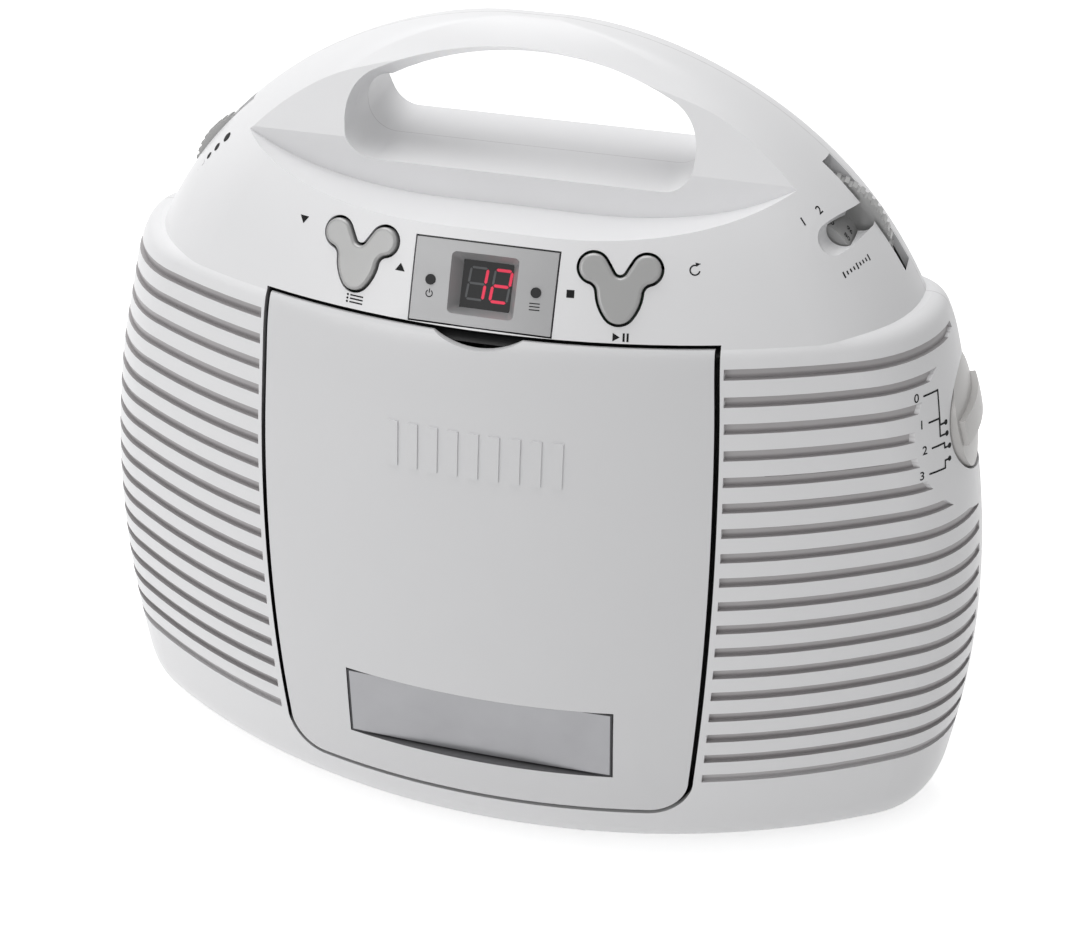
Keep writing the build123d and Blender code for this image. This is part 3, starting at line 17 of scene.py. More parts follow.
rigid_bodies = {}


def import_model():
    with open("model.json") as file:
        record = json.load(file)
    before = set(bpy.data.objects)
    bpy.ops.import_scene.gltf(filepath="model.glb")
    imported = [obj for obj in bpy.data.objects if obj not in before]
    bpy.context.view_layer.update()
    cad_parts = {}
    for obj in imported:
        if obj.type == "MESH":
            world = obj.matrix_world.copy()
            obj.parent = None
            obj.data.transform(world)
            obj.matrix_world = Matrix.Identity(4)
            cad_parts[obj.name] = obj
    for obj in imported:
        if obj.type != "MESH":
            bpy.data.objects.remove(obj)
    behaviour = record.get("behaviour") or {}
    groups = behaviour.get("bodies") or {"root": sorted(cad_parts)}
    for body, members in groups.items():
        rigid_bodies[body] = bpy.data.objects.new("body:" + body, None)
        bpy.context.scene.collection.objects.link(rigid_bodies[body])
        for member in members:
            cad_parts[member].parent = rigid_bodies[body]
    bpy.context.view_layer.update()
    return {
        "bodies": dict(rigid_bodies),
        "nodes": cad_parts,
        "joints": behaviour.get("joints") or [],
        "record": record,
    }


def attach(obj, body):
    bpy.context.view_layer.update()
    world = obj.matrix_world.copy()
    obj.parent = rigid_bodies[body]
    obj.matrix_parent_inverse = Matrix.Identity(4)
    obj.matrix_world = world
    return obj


MM = 0.001
RIGHT_ANGLE = 90.0
# Half of a painted edge's width, in millimetres.
EDGE = 0.02
LOG = logging.getLogger("disc_radio")
Colour = tuple[float, float, float]
Spot = tuple[float, float]
Place = tuple[float, float, float]


class Body(Enum):
    """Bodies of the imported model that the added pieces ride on."""

    HOUSING = "housing"
    TUNING = "tuning_wheel"


class Slot(Enum):
    """Material slots of the record."""

    SHELL = "shell_white"
    KEY = "key_grey"
    SILVER = "silver"
    DARK = "dark_plastic"
    WINDOW = "window"
    STEEL = "steel"
    BOARD = "board"
    RUBBER = "black_rubber"
    CHROME = "chrome"
    CONE = "cone"
    COPPER = "copper"
    FERRITE = "ferrite"
    LENS = "lens"


class Signal:
    """A number in a node tree, wrapped so that ordinary arithmetic adds Math nodes."""

    def __init__(self, graph: "Graph", socket: bpy.types.NodeSocket) -> None:
        """Wraps a socket.

        Args:
            graph: The tree that the socket belongs to.
            socket: The output socket.
        """
        self.graph = graph
        self.socket = socket

    def math(self, operation: str, other: "Operand | None" = None, reflected: bool = False) -> "Signal":
        """Adds one Math node.

        Args:
            operation: The node's operation.
            other: The second operand, if the operation takes one.
            reflected: True where this signal is the second operand.

        Returns:
            The result as a signal.
        """
        pair = (other, self) if reflected else (self, other)
        inputs = {0: self} if other is None else dict(enumerate(pair))
        return self.graph.signal(self.graph.node("ShaderNodeMath", {"operation": operation}, inputs))

    def __add__(self, other: "Operand") -> "Signal":
        """Sum."""
        return self.math("ADD", other)

    __radd__ = __add__

    def __mul__(self, other: "Operand") -> "Signal":
        """Product."""
        return self.math("MULTIPLY", other)

    __rmul__ = __mul__

    def __sub__(self, other: "Operand") -> "Signal":
        """Difference."""
        return self.math("SUBTRACT", other)

    def __rsub__(self, other: "Operand") -> "Signal":
        """Difference with this signal taken away."""
        return self.math("SUBTRACT", other, True)

    def __truediv__(self, other: "Operand") -> "Signal":
        """Quotient."""
        return self.math("DIVIDE", other)

    def __abs__(self) -> "Signal":
        """Absolute value."""
        return self.math("ABSOLUTE")

    def root(self) -> "Signal":
        """Square root."""
        return self.math("SQRT")

    def ramp(self, low: float, high: float) -> "Signal":
        """Smooth step from 0 at low to 1 at high.

        Args:
            low: Value where the step starts.
            high: Value where the step ends.

        Returns:
            The step as a signal.
        """
        inputs = {0: self, 1: low, 2: high, 3: 0.0, 4: 1.0}
        node = self.graph.node("ShaderNodeMapRange", {"interpolation_type": "SMOOTHSTEP"}, inputs)
        return self.graph.signal(node)


Operand = Union[Signal, float]


class Graph:
    """A node tree of any kind, built one node at a time."""

    def __init__(self, tree: bpy.types.NodeTree) -> None:
        """Starts on an emptied tree.

        Args:
            tree: The tree to build in.
        """
        self.tree = tree
        self.tree.nodes.clear()

    def node(
        self,
        kind: str,
        settings: dict[str, Any] | None = None,
        inputs: dict[int | str, Any] | None = None,
    ) -> bpy.types.Node:
        """Adds a node, sets it, then feeds its sockets.

        Args:
            kind: The node's type.
            settings: Its properties.
            inputs: A value, socket, signal or node for each input, by name or number.

        Returns:
            The new node.
        """
        made = self.tree.nodes.new(kind)
        for name, value in (settings or {}).items():
            setattr(made, name, value)
        for name, value in (inputs or {}).items():
            self.feed(made.inputs[name], value)
        return made

    def feed(self, target: bpy.types.NodeSocket, value: Any) -> None:
        """Links or sets one input socket.

        Args:
            target: The input socket.
            value: A node, socket, signal, number, colour or vector.
        """
        if isinstance(value, Signal):
            value = value.socket
        if isinstance(value, bpy.types.Node):
            value = value.outputs[0]
        if isinstance(value, bpy.types.NodeSocket):
            self.tree.links.new(value, target)
        elif target.type == "RGBA" and len(value) == 3:
            target.default_value = (*value, 1.0)
        else:
            target.default_value = value

    def signal(self, node: bpy.types.Node, output: int | str = 0) -> Signal:
        """Wraps a node's output as a signal."""
        return Signal(self, node.outputs[output])


class ShaderGraph(Graph):
    """The node tree of one material, read in the object's own coordinates."""

    def __init__(self, title: str) -> None:
        """Makes the material.

        Args:
            title: The material's name.
        """
        self.material = bpy.data.materials.new(title)
        self.material.use_nodes = True
        super().__init__(self.material.node_tree)
        self.place = self.node("ShaderNodeTexCoord").outputs["Object"]

    def axes(self) -> tuple[Signal, Signal, Signal]:
        """Object coordinates in millimetres, one signal for each axis."""
        inputs = {0: self.place, "Scale": 1.0 / MM}
        scaled = self.node("ShaderNodeVectorMath", {"operation": "SCALE"}, inputs)
        split = self.node("ShaderNodeSeparateXYZ", None, {0: scaled})
        return tuple(Signal(self, output) for output in split.outputs)

    def noise(
        self,
        size: float,
        detail: float = 2.0,
        stretch: Sequence[float] = (1.0, 1.0, 1.0),
    ) -> Signal:
        """Noise of one grain size.

        Args:
            size: Size of the grain in millimetres.
            detail: Octaves of finer noise.
            stretch: Scale of the pattern along each axis; a small value draws it out.

        Returns:
            The noise, from 0 to 1.
        """
        mapped = self.node("ShaderNodeMapping", None, {"Vector": self.place, "Scale": tuple(stretch)})
        inputs = {"Vector": mapped, "Scale": 1.0 / (size * MM), "Detail": detail}
        return self.signal(self.node("ShaderNodeTexNoise", None, inputs))

    def mixed(self, share: Operand, first: Any, second: Any) -> bpy.types.NodeSocket:
        """Blends two colours.

        Args:
            share: How much of the second colour shows.
            first: The first colour or colour socket.
            second: The second colour or colour socket.

        Returns:
            The blended colour's socket.
        """
        made = self.node("ShaderNodeMix", {"data_type": "RGBA"}, {0: share, 6: first, 7: second})
        return made.outputs[2]

    def surface(self, values: dict[str, Any]) -> bpy.types.Material:
        """Closes the tree with one shader.

        Args:
            values: The shader's inputs by name.

        Returns:
            The finished material.
        """
        shader = self.node("ShaderNodeBsdfPrincipled", None, values)
        self.node("ShaderNodeOutputMaterial", None, {"Surface": shader})
        return self.material


@dataclass(frozen=True)
class Finish:
    """A moulded, painted or metal finish with a fine grain and slight variation.

    Sizes are in millimetres and colours are linear.
    """

    title: str
    colour: Colour
    roughness: float = 0.4
    metallic: float = 0.0
    coat: float = 0.0
    grain: float = 0.01
    grain_size: float = 0.5
    mottle: float = 0.04
    stretch: tuple[float, float, float] = (1.0, 1.0, 1.0)
    specular: float = 0.5
    cloud_size: float = 18.0
    wear_size: float = 7.0
    wear: float = 0.3
    bump: float = 0.6
    coat_roughness: float = 0.08

    def tint(self, graph: ShaderGraph) -> Any:
        """Base colour, slightly clouded."""
        dark = tuple(channel * (1.0 - self.mottle) for channel in self.colour)
        return graph.mixed(graph.noise(self.cloud_size, 3.0), dark, self.colour)

    def gloss(self, graph: ShaderGraph) -> Operand:
        """Roughness, higher where hands and dust have dulled the surface."""
        dulled = graph.noise(self.wear_size, 4.0, self.stretch) * (self.roughness * self.wear)
        return self.roughness * (1.0 - self.wear / 2) + dulled

    def relief(self, graph: ShaderGraph) -> Signal:
        """Height of the grain, from 0 to 1."""
        return graph.noise(self.grain_size, 2.0, self.stretch)

    def extras(self, graph: ShaderGraph) -> dict[str, Any]:
        """More shader inputs of a special finish."""
        return {}

    def material(self) -> bpy.types.Material:
        """Builds the material."""
        graph = ShaderGraph(self.title)
        raised = {"Strength": self.bump, "Distance": self.grain * MM, "Height": self.relief(graph)}
        values = {
            "Base Color": self.tint(graph),
            "Roughness": self.gloss(graph),
            "Metallic": self.metallic,
            "Specular IOR Level": self.specular,
            "Coat Weight": self.coat,
            "Coat Roughness": self.coat_roughness,
            "Normal": graph.node("ShaderNodeBump", None, raised),
        }
        values.update(self.extras(graph))
        return graph.surface(values)


@dataclass(frozen=True)
class DoorEdge:
    """Outline of the disc door as seen from the front, in millimetres."""

    half_width: float = 66.0
    bow: float = 3.0
    bow_height: float = 109.35
    bow_span: float = 74.15
    bottom: float = 23.2
    corner: float = 12.0

    def distance(self, graph: ShaderGraph) -> Signal:
        """Distance outside the outline, negative inside it."""
        x, _, z = graph.axes()
        rise = (z - self.bow_height) / self.bow_span
        fall = (rise * rise).math("MINIMUM", 1.0) * self.bow
        side = abs(x) + fall - (self.half_width + self.bow - self.corner)
        down = (self.bottom + self.corner) - z
        beyond_side = side.math("MAXIMUM", 0.0)
        beyond_down = down.math("MAXIMUM", 0.0)
        inside = side.math("MAXIMUM", down).math("MINIMUM", 0.0)
        return (beyond_side * beyond_side + beyond_down * beyond_down).root() + inside - self.corner


@dataclass(frozen=True)
class ShellFinish(Finish):
    """White housing plastic with painted shade on the groove floors, painted shadow in the gaps and a
    fine parting line.
    """

    # Painted shade on the groove floors, also the grey of the parting line.
    floor: Colour = (0.46, 0.445, 0.45)
    # Painted shadow on the lower part of each groove floor.
    deep: Colour = (0.32, 0.305, 0.31)
    # Painted shadow on the walls of the door opening and of the panel holes.
    gap: Colour = (0.012, 0.012, 0.013)
    groove_top: float = 176.9
    groove_low: float = 23.2
    groove_pitch: float = 8.25
    groove_half: float = 1.62
    groove_count: int = 18
    groove_start: float = 69.0
    groove_bow: float = 3.0
    groove_end: float = -5.0
    groove_margin: float = 1.9
    groove_field: float = 139.0
    floor_edge: float = 0.03
    deep_start: float = 0.75
    deep_fade: float = 0.35
    island_height: float = 147.4
    island_radius: float = 29.5
    seam_half: float = 0.16
    seam_share: float = 0.7
    door: DoorEdge = DoorEdge()
    door_gap: float = 1.4
    door_fade: float = 0.08
    door_back: float = -43.9
    back_fade: float = 0.3
    door_low: float = 29.0
    low_fade: float = 4.0
    ledge: float = 184.7
    panel_top: float = 208.4
    panel_half: float = 60.0
    panel_front: float = 59.5
    panel_slope: float = 0.481
    panel_radius: float = 225.0
    hole_start: float = 0.7
    hole_full: float = 1.2
    hole_depth: float = 8.0

    def groove_area(self, graph: ShaderGraph) -> Signal:
        """1 over the area that the grooves cross and 0 elsewhere."""
        x, y, z = graph.axes()
        middle = (self.groove_top + self.groove_low) / 2
        rise = (z - middle) / (self.groove_top - middle)
        start = self.groove_start + self.groove_bow - rise * rise * self.groove_bow
        beside = (abs(x) - start).ramp(-EDGE, EDGE)
        before = 1.0 - y.ramp(self.groove_end - EDGE, self.groove_end + EDGE)
        top = self.groove_top + self.groove_margin
        below = 1.0 - z.ramp(top, top + 0.1)
        low = self.groove_top - self.groove_pitch * (self.groove_count - 0.5)
        above = z.ramp(low, self.groove_top - self.groove_field)
        height = z - self.island_height
        from_knob = (y * y + height * height).root() - self.island_radius
        clear = from_knob.ramp(-EDGE, EDGE).math("MAXIMUM", 1.0 - x.ramp(0.0, 1.0))
        return beside * before * below * above * clear

    def groove_drop(self, graph: ShaderGraph) -> Signal:
        """Distance below the middle of the nearest groove."""
        _, _, z = graph.axes()
        cycle = (self.groove_top - z) / self.groove_pitch + 0.5
        return (cycle.math("FRACT") - 0.5) * self.groove_pitch

    def gaps(self, graph: ShaderGraph) -> Signal:
        """Mask of the painted shadow: 1 on the walls of the door opening and of the holes in the sloping
        panel, and 0 elsewhere.
        """
        x, y, z = graph.axes()
        outside = self.door.distance(graph)
        opening = 1.0 - outside.ramp(self.door_gap + EDGE, self.door_gap + self.door_fade)
        opening = opening * (1.0 - z.ramp(self.ledge + EDGE, self.ledge + 3 * EDGE))
        opening = opening * (1.0 - y.ramp(self.door_back, self.door_back + self.back_fade))
        opening = opening * z.ramp(self.door_low, self.door_low + self.low_fade)
        surface = self.panel_radius - (self.panel_radius**2 - x * x).root() - self.panel_front
        inward = y - surface - (z - self.ledge) * self.panel_slope
        holes = inward.ramp(self.hole_start, self.hole_full)
        holes = holes * (1.0 - inward.ramp(self.hole_depth, self.hole_depth + 1.0))
        holes = holes * (1.0 - abs(x).ramp(self.panel_half, self.panel_half + 0.5))
        holes = holes * z.ramp(self.ledge + 1.0, self.ledge + 1.2)
        holes = holes * (1.0 - z.ramp(self.panel_top - 0.4, self.panel_top))
        return opening.math("MAXIMUM", holes)

    def tint(self, graph: ShaderGraph) -> Any:
        """White, with painted shade on the groove floors, painted shadow in the gaps, and darker along
        the seam.
        """
        _, y, _ = graph.axes()
        drop = self.groove_drop(graph)
        area = self.groove_area(graph)
        # Painted shade on the groove floors, and painted shadow on their lower part.
        floor_shade_mask = area * (1.0 - abs(drop).ramp(self.groove_half - self.floor_edge, self.groove_half))
        lower = floor_shade_mask * drop.ramp(self.deep_start - self.deep_fade, self.deep_start + self.deep_fade)
        shade = graph.mixed(floor_shade_mask, super().tint(graph), self.floor)
        shade = graph.mixed(lower, shade, self.deep)
        seam = 1.0 - abs(y).ramp(self.seam_half * 0.6, self.seam_half)
        shade = graph.mixed(seam * self.seam_share, shade, self.floor)
        # Painted shadow in the gaps round the door and in the panel holes.
        return graph.mixed(self.gaps(graph), shade, self.gap)


@dataclass(frozen=True)
class DoorFinish(Finish):
    """White door plastic, with painted shadow on its edge and painted shade in the pocket of the name
    plate.
    """

    # Painted shadow on the door's edge.
    gap: Colour = (0.012, 0.012, 0.013)
    # Painted shade in the name plate's pocket.
    pocket: Colour = (0.14, 0.14, 0.145)
    edge: DoorEdge = DoorEdge()
    pocket_half: float = 43.25
    pocket_low: float = 36.75
    pocket_high: float = 62.65
    pocket_back: float = -60.0

    def tint(self, graph: ShaderGraph) -> Any:
        """White with painted shadow on the rim and painted shade in the pocket."""
        x, y, z = graph.axes()
        # Painted shadow on the door's edge.
        rim_shadow = self.edge.distance(graph).ramp(-0.07, -0.03)
        beside = 1.0 - abs(x).ramp(self.pocket_half - EDGE, self.pocket_half + EDGE)
        above = z.ramp(self.pocket_low - EDGE, self.pocket_low + EDGE)
        below = 1.0 - z.ramp(self.pocket_high - EDGE, self.pocket_high + EDGE)
        before = 1.0 - y.ramp(self.pocket_back - 0.5, self.pocket_back)
        # Painted shade in the pocket of the name plate.
        shade = graph.mixed(beside * above * below * before, super().tint(graph), self.pocket)
        return graph.mixed(rim_shadow, shade, self.gap)


@dataclass(frozen=True)
class PlateFinish(Finish):
    """Brushed name plate with a dark border, left without a name."""

    border: Colour = (0.045, 0.045, 0.048)
    half: float = 42.8
    low: float = 37.2
    high: float = 62.2
    width: float = 0.55

    def tint(self, graph: ShaderGraph) -> Any:
        """Silver with a dark line along the edge."""
        x, _, z = graph.axes()
        beside = abs(x) - (self.half - self.width)
        above = z - (self.high - self.width)
        below = (self.low + self.width) - z
        edge = beside.math("MAXIMUM", above).math("MAXIMUM", below).ramp(-0.05, 0.05)
        return graph.mixed(edge, super().tint(graph), self.border)


@dataclass(frozen=True)
class BoardFinish(Finish):
    """Green circuit board with copper traces under the mask."""

    trace: Colour = (0.05, 0.16, 0.07)
    pitch: float = 2.6
    trace_half: float = 0.1
    trace_edge: float = 0.14

    def tint(self, graph: ShaderGraph) -> Any:
        """Green with lighter straight traces."""
        x, _, z = graph.axes()
        column = abs((x / self.pitch).math("FRACT") - 0.5)
        row = abs((z / self.pitch).math("FRACT") - 0.5)
        patch = graph.noise(self.pitch * 4.0, 0.0).math("GREATER_THAN", 0.5)
        upright = patch * (1.0 - column.ramp(self.trace_half, self.trace_edge))
        level = (1.0 - patch) * (1.0 - row.ramp(self.trace_half, self.trace_edge))
        return graph.mixed(upright + level, self.colour, self.trace)


@dataclass(frozen=True)
class GlowFinish(Finish):
    """A lit segment of the display."""

    glow: float = 1.0

    def extras(self, graph: ShaderGraph) -> dict[str, Any]:
        """Light of its own, in the segment's colour."""
        return {"Emission Color": self.colour, "Emission Strength": self.glow}


@dataclass(frozen=True)
class ClearFinish(Finish):
    """Clear or tinted lens material."""

    clearness: float = 0.5

    def extras(self, graph: ShaderGraph) -> dict[str, Any]:
        """Light passes through."""
        return {"Transmission Weight": self.clearness, "IOR": 1.5}


class Palette:
    """All finishes of the radio, each made into a material once."""

    SHELL = ShellFinish(
        "white_shell", (0.79, 0.79, 0.80), roughness=0.33, grain=0.006, grain_size=0.35, mottle=0.02
    )
    # Painted shade: the door's white is a darker copy of the shell's white.
    DOOR = DoorFinish(
        "white_door", (0.70, 0.70, 0.71), roughness=0.3, grain=0.006, grain_size=0.35, mottle=0.02
    )
    KEY = Finish(
        "satin_grey", (0.37, 0.37, 0.368), roughness=0.32, metallic=0.25, grain=0.008, mottle=0.05
    )
    KNOB = Finish(
        "pale_grey", (0.5, 0.49, 0.48), roughness=0.35, metallic=0.1, grain=0.008, mottle=0.04
    )
    SILVER = Finish(
        "satin_silver",
        (0.37, 0.37, 0.375),
        roughness=0.36,
        metallic=0.2,
        grain_size=0.25,
        mottle=0.08,
        stretch=(0.04, 1.0, 1.0),
    )
    PLATE = PlateFinish(
        "brushed_silver",
        (0.37, 0.37, 0.385),
        roughness=0.32,
        metallic=0.65,
        grain_size=0.25,
        mottle=0.2,
        stretch=(0.04, 1.0, 1.0),
    )
    DARK = Finish(
        "black_plastic", (0.018, 0.018, 0.019), roughness=0.5, grain=0.02, grain_size=0.4, mottle=0.2
    )
    WINDOW = Finish(
        "smoked_window", (0.018, 0.018, 0.019), roughness=0.2, grain=0.001, specular=0.15
    )
    LAMP = Finish("dark_lamp", (0.008, 0.008, 0.009), roughness=0.3, grain=0.001, specular=0.2)
    STEEL = Finish(
        "zinc_steel",
        (0.55, 0.55, 0.56),
        roughness=0.3,
        metallic=1.0,
        mottle=0.15,
        stretch=(1.0, 0.1, 1.0),
    )
    BOARD = BoardFinish("circuit_board", (0.025, 0.10, 0.045), roughness=0.35, coat=0.3)
    RUBBER = Finish(
        "soft_rubber", (0.022, 0.022, 0.023), roughness=0.75, grain=0.03, grain_size=0.7, mottle=0.25
    )
    CHROME = Finish(
        "bright_chrome", (0.6, 0.6, 0.62), roughness=0.12, metallic=1.0, grain=0.001, mottle=0.1
    )
    CONE = Finish(
        "pressed_paper", (0.03, 0.03, 0.032), roughness=0.85, grain=0.06, grain_size=0.9, mottle=0.3
    )
    COPPER = Finish(
        "copper_wire",
        (0.45, 0.17, 0.07),
        roughness=0.35,
        metallic=0.9,
        grain=0.05,
        stretch=(1.0, 0.1, 1.0),
    )
    FERRITE = Finish("ferrite_core", (0.05, 0.05, 0.055), roughness=0.6, grain=0.03, mottle=0.3)
    LENS = ClearFinish("blue_lens", (0.35, 0.45, 0.75), roughness=0.03, grain=0.0005, clearness=0.7)
    INK = Finish("black_print", (0.01, 0.01, 0.011), roughness=0.5, grain=0.002, specular=0.12)
    LIT = GlowFinish("lit_segment", (0.6, 0.035, 0.075), roughness=0.4, specular=0.2, glow=0.62)
    GHOST = Finish("unlit_segment", (0.11, 0.113, 0.118), roughness=0.35, grain=0.001, specular=0.2)

    SLOTS = {
        Slot.SHELL: SHELL,
        Slot.KEY: KEY,
        Slot.SILVER: SILVER,
        Slot.DARK: DARK,
        Slot.WINDOW: WINDOW,
        Slot.STEEL: STEEL,
        Slot.BOARD: BOARD,
        Slot.RUBBER: RUBBER,
        Slot.CHROME: CHROME,
        Slot.CONE: CONE,
        Slot.COPPER: COPPER,
        Slot.FERRITE: FERRITE,
        Slot.LENS: LENS,
    }

    def __init__(self) -> None:
        """Starts with nothing mixed."""
        self.made: dict[str, bpy.types.Material] = {}

    def mix(self, finish: Finish) -> bpy.types.Material:
        """The material of a finish, made on its first use."""
        if finish.title not in self.made:
            self.made[finish.title] = finish.material()
        return self.made[finish.title]


class Workshop:
    """The loaded frame, its finishes, and the calls that hand over a finished piece."""

    def __init__(self, frame: dict[str, Any], palette: Palette) -> None:
        """Keeps the frame.

        Args:
            palette: The finishes.
        """
        self.nodes = frame["nodes"]
        self.slots = {part["node"]: Slot(part["material_slot"]) for part in frame["record"]["subparts"]}
        self.palette = palette

    def dress(self, name: str, finish: Finish) -> None:
        """Gives a carried-over node its finish.

        Args:
            name: The node.
            finish: Its finish.
        """
        for holder in self.nodes[name].material_slots:
            holder.material = self.palette.mix(finish)

    def dress_all(self) -> None:
        """Gives each carried-over node the finish of its slot."""
        for name, slot in self.slots.items():
            self.dress(name, Palette.SLOTS[slot])
        LOG.info("dressed %d carried-over nodes", len(self.slots))

    def solid(self, name: str, shape: bmesh.types.BMesh, finish: Finish) -> bpy.types.Object:
        """Turns a shape into a flat-shaded object with one finish.

        Args:
            name: The piece's name.
            shape: The shape, which is used up.
            finish: Its finish.

        Returns:
            The new object.
        """
        mesh = bpy.data.meshes.new(name)
        shape.to_mesh(mesh)
        shape.free()
        for face in mesh.polygons:
            face.use_smooth = False
        mesh.materials.append(self.palette.mix(finish))
        piece = bpy.data.objects.new(name, mesh)
        bpy.context.scene.collection.objects.link(piece)
        return piece

    def hand_over(self, piece: bpy.types.Object, body: Body, slot: Slot) -> None:
        """Args:
            piece: The piece.
            body: The body that it rides on.
            slot: The record's slot; not used.
        """
        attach(piece, body.value)
        LOG.info("piece %s rides on %s", piece.name, body.value)


class Skin:
    """Outer surface of some nodes, on which printed marks are laid."""

    def __init__(self, nodes: Iterable[bpy.types.Object]) -> None:
        """Gathers the nodes' faces.

        Args:
            nodes: The nodes that carry the marks.
        """
        places: list[Vector] = []
        faces: list[tuple[int, ...]] = []
        for node in nodes:
            start = len(places)
            places += [vertex.co.copy() for vertex in node.data.vertices]
            faces += [tuple(start + index for index in face.vertices) for face in node.data.polygons]
        self.tree = BVHTree.FromPolygons(places, faces)

    def touch(self, point: Vector) -> tuple[Vector, Vector]:
        """Nearest point of the surface and its outward normal.

        Args:
            point: A point near the surface, in metres.

        Returns:
            The surface point and the normal.
        """
        found, normal, _, _ = self.tree.find_nearest(point)
        return found, normal


@dataclass
class Patch:
    """A spot on the skin with directions across and up it."""

    skin: Skin
    centre: Place
    turn: float = 0.0

    def axes(self) -> tuple[Vector, Vector, Vector, Vector]:
        """Origin in metres, then unit vectors across, up and out of the spot."""
        origin, out = self.skin.touch(Vector(self.centre) * MM)
        across = Vector((-out.y, out.x, 0.0)).normalized()
        across.rotate(Matrix.Rotation(math.radians(self.turn), 3, out))
        return origin, across, out.cross(across), out


class Stamp:
    """Printed shapes, drawn flat in millimetres and then laid on the skin."""

    LIFT = 0.05
    REACH = 1.2
    ROUNDS = 5
    WELD = 0.001
    BOLD = 0.012

    def __init__(self) -> None:
        """Starts with nothing drawn."""
        self.shape = bmesh.new()

    def area(self, corners: Sequence[Spot]) -> None:
        """Adds one filled outline, given against the clock."""
        self.shape.faces.new([self.shape.verts.new((u, v, 0.0)) for u, v in corners])

    def disc(self, at: Spot, radius: float, steps: int = 24) -> None:
        """Adds a filled circle."""
        turns = [2.0 * math.pi * step / steps for step in range(steps)]
        self.area([(at[0] + radius * math.cos(turn), at[1] + radius * math.sin(turn)) for turn in turns])

    def bar(self, first: Spot, last: Spot, width: float) -> None:
        """Adds a straight stroke between two points."""
        run = Vector((last[0] - first[0], last[1] - first[1])).normalized()
        side = Vector((-run.y, run.x)) * width / 2
        self.area(
            [
                (first[0] - side.x, first[1] - side.y),
                (last[0] - side.x, last[1] - side.y),
                (last[0] + side.x, last[1] + side.y),
                (first[0] + side.x, first[1] + side.y),
            ]
        )

    def line(self, points: Sequence[Spot], width: float) -> None:
        """Adds a bent stroke with round joints."""
        for first, last in zip(points, points[1:]):
            self.bar(first, last, width)
        for point in points:
            self.disc(point, width / 2, 12)

    def ring(self, at: Spot, radius: float, width: float, start: float, sweep: float) -> None:
        """Adds part of a ring.

        Args:
            at: Its centre.
            radius: Its middle radius.
            width: Width of the stroke.
            start: Angle of its first end in degrees.
            sweep: Angle that it covers in degrees.
        """
        steps = max(4, round(abs(sweep) / 12))
        turns = [math.radians(start + sweep * step / steps) for step in range(steps + 1)]
        inner, outer = radius - width / 2, radius + width / 2
        for first, last in zip(turns, turns[1:]):
            self.area(
                [
                    (at[0] + inner * math.cos(first), at[1] + inner * math.sin(first)),
                    (at[0] + outer * math.cos(first), at[1] + outer * math.sin(first)),
                    (at[0] + outer * math.cos(last), at[1] + outer * math.sin(last)),
                    (at[0] + inner * math.cos(last), at[1] + inner * math.sin(last)),
                ]
            )

    def numeral(self, text: str, at: Spot, size: float) -> None:
        """Adds a plain number, centred on a point.

        Args:
            text: The digits.
            at: The point.
            size: The letter size.
        """
        curve = bpy.data.curves.new("numeral", "FONT")
        curve.body = text
        curve.size = size
        curve.align_x = "CENTER"
        curve.align_y = "CENTER"
        curve.offset = size * self.BOLD
        holder = bpy.data.objects.new("numeral", curve)
        bpy.context.scene.collection.objects.link(holder)
        bpy.context.view_layer.update()
        ready = holder.evaluated_get(bpy.context.evaluated_depsgraph_get())
        mesh = bpy.data.meshes.new_from_object(ready)
        mesh.transform(Matrix.Translation((at[0], at[1], 0.0)))
        self.shape.from_mesh(mesh)
        bpy.data.objects.remove(holder)
        bpy.data.curves.remove(curve)
        bpy.data.meshes.remove(mesh)

    def refine(self) -> None:
        """Cuts long edges, so that the marks follow a curved surface."""
        bmesh.ops.remove_doubles(self.shape, verts=self.shape.verts, dist=self.WELD)
        bmesh.ops.triangulate(self.shape, faces=self.shape.faces)
        for _ in range(self.ROUNDS):
            long = [edge for edge in self.shape.edges if edge.calc_length() > self.REACH]
            if not long:
                break
            bmesh.ops.subdivide_edges(self.shape, edges=long, cuts=1)
            bmesh.ops.triangulate(self.shape, faces=self.shape.faces)

    def lay(self, patch: Patch) -> bmesh.types.BMesh:
        """Lays the marks on the skin round a patch.

        Args:
            patch: The spot that the marks are drawn about.

        Returns:
            The laid shape.
        """
        self.refine()
        origin, across, up, out = patch.axes()
        for vertex in self.shape.verts:
            flat = origin + across * (vertex.co.x * MM) + up * (vertex.co.y * MM)
            found, _ = patch.skin.touch(flat)
            vertex.co = found + out * (self.LIFT * MM)
        return self.shape

    def place(self, frame: Matrix) -> bmesh.types.BMesh:
        """Puts the marks on a flat face.

        Args:
            frame: Its frame in metres, with the marks in its first two directions.

        Returns:
            The placed shape.
        """
        self.refine()
        bmesh.ops.transform(self.shape, matrix=frame @ Matrix.Scale(MM, 4), verts=self.shape.verts)
        return self.shape


def joined(shapes: Iterable[bmesh.types.BMesh]) -> bmesh.types.BMesh:
    """Puts several shapes into one.

    Args:
        shapes: The shapes, which are used up.

    Returns:
        One shape with all faces.
    """
    whole = bmesh.new()
    for shape in shapes:
        mesh = bpy.data.meshes.new("joined")
        shape.to_mesh(mesh)
        shape.free()
        whole.from_mesh(mesh)
        bpy.data.meshes.remove(mesh)
    return whole


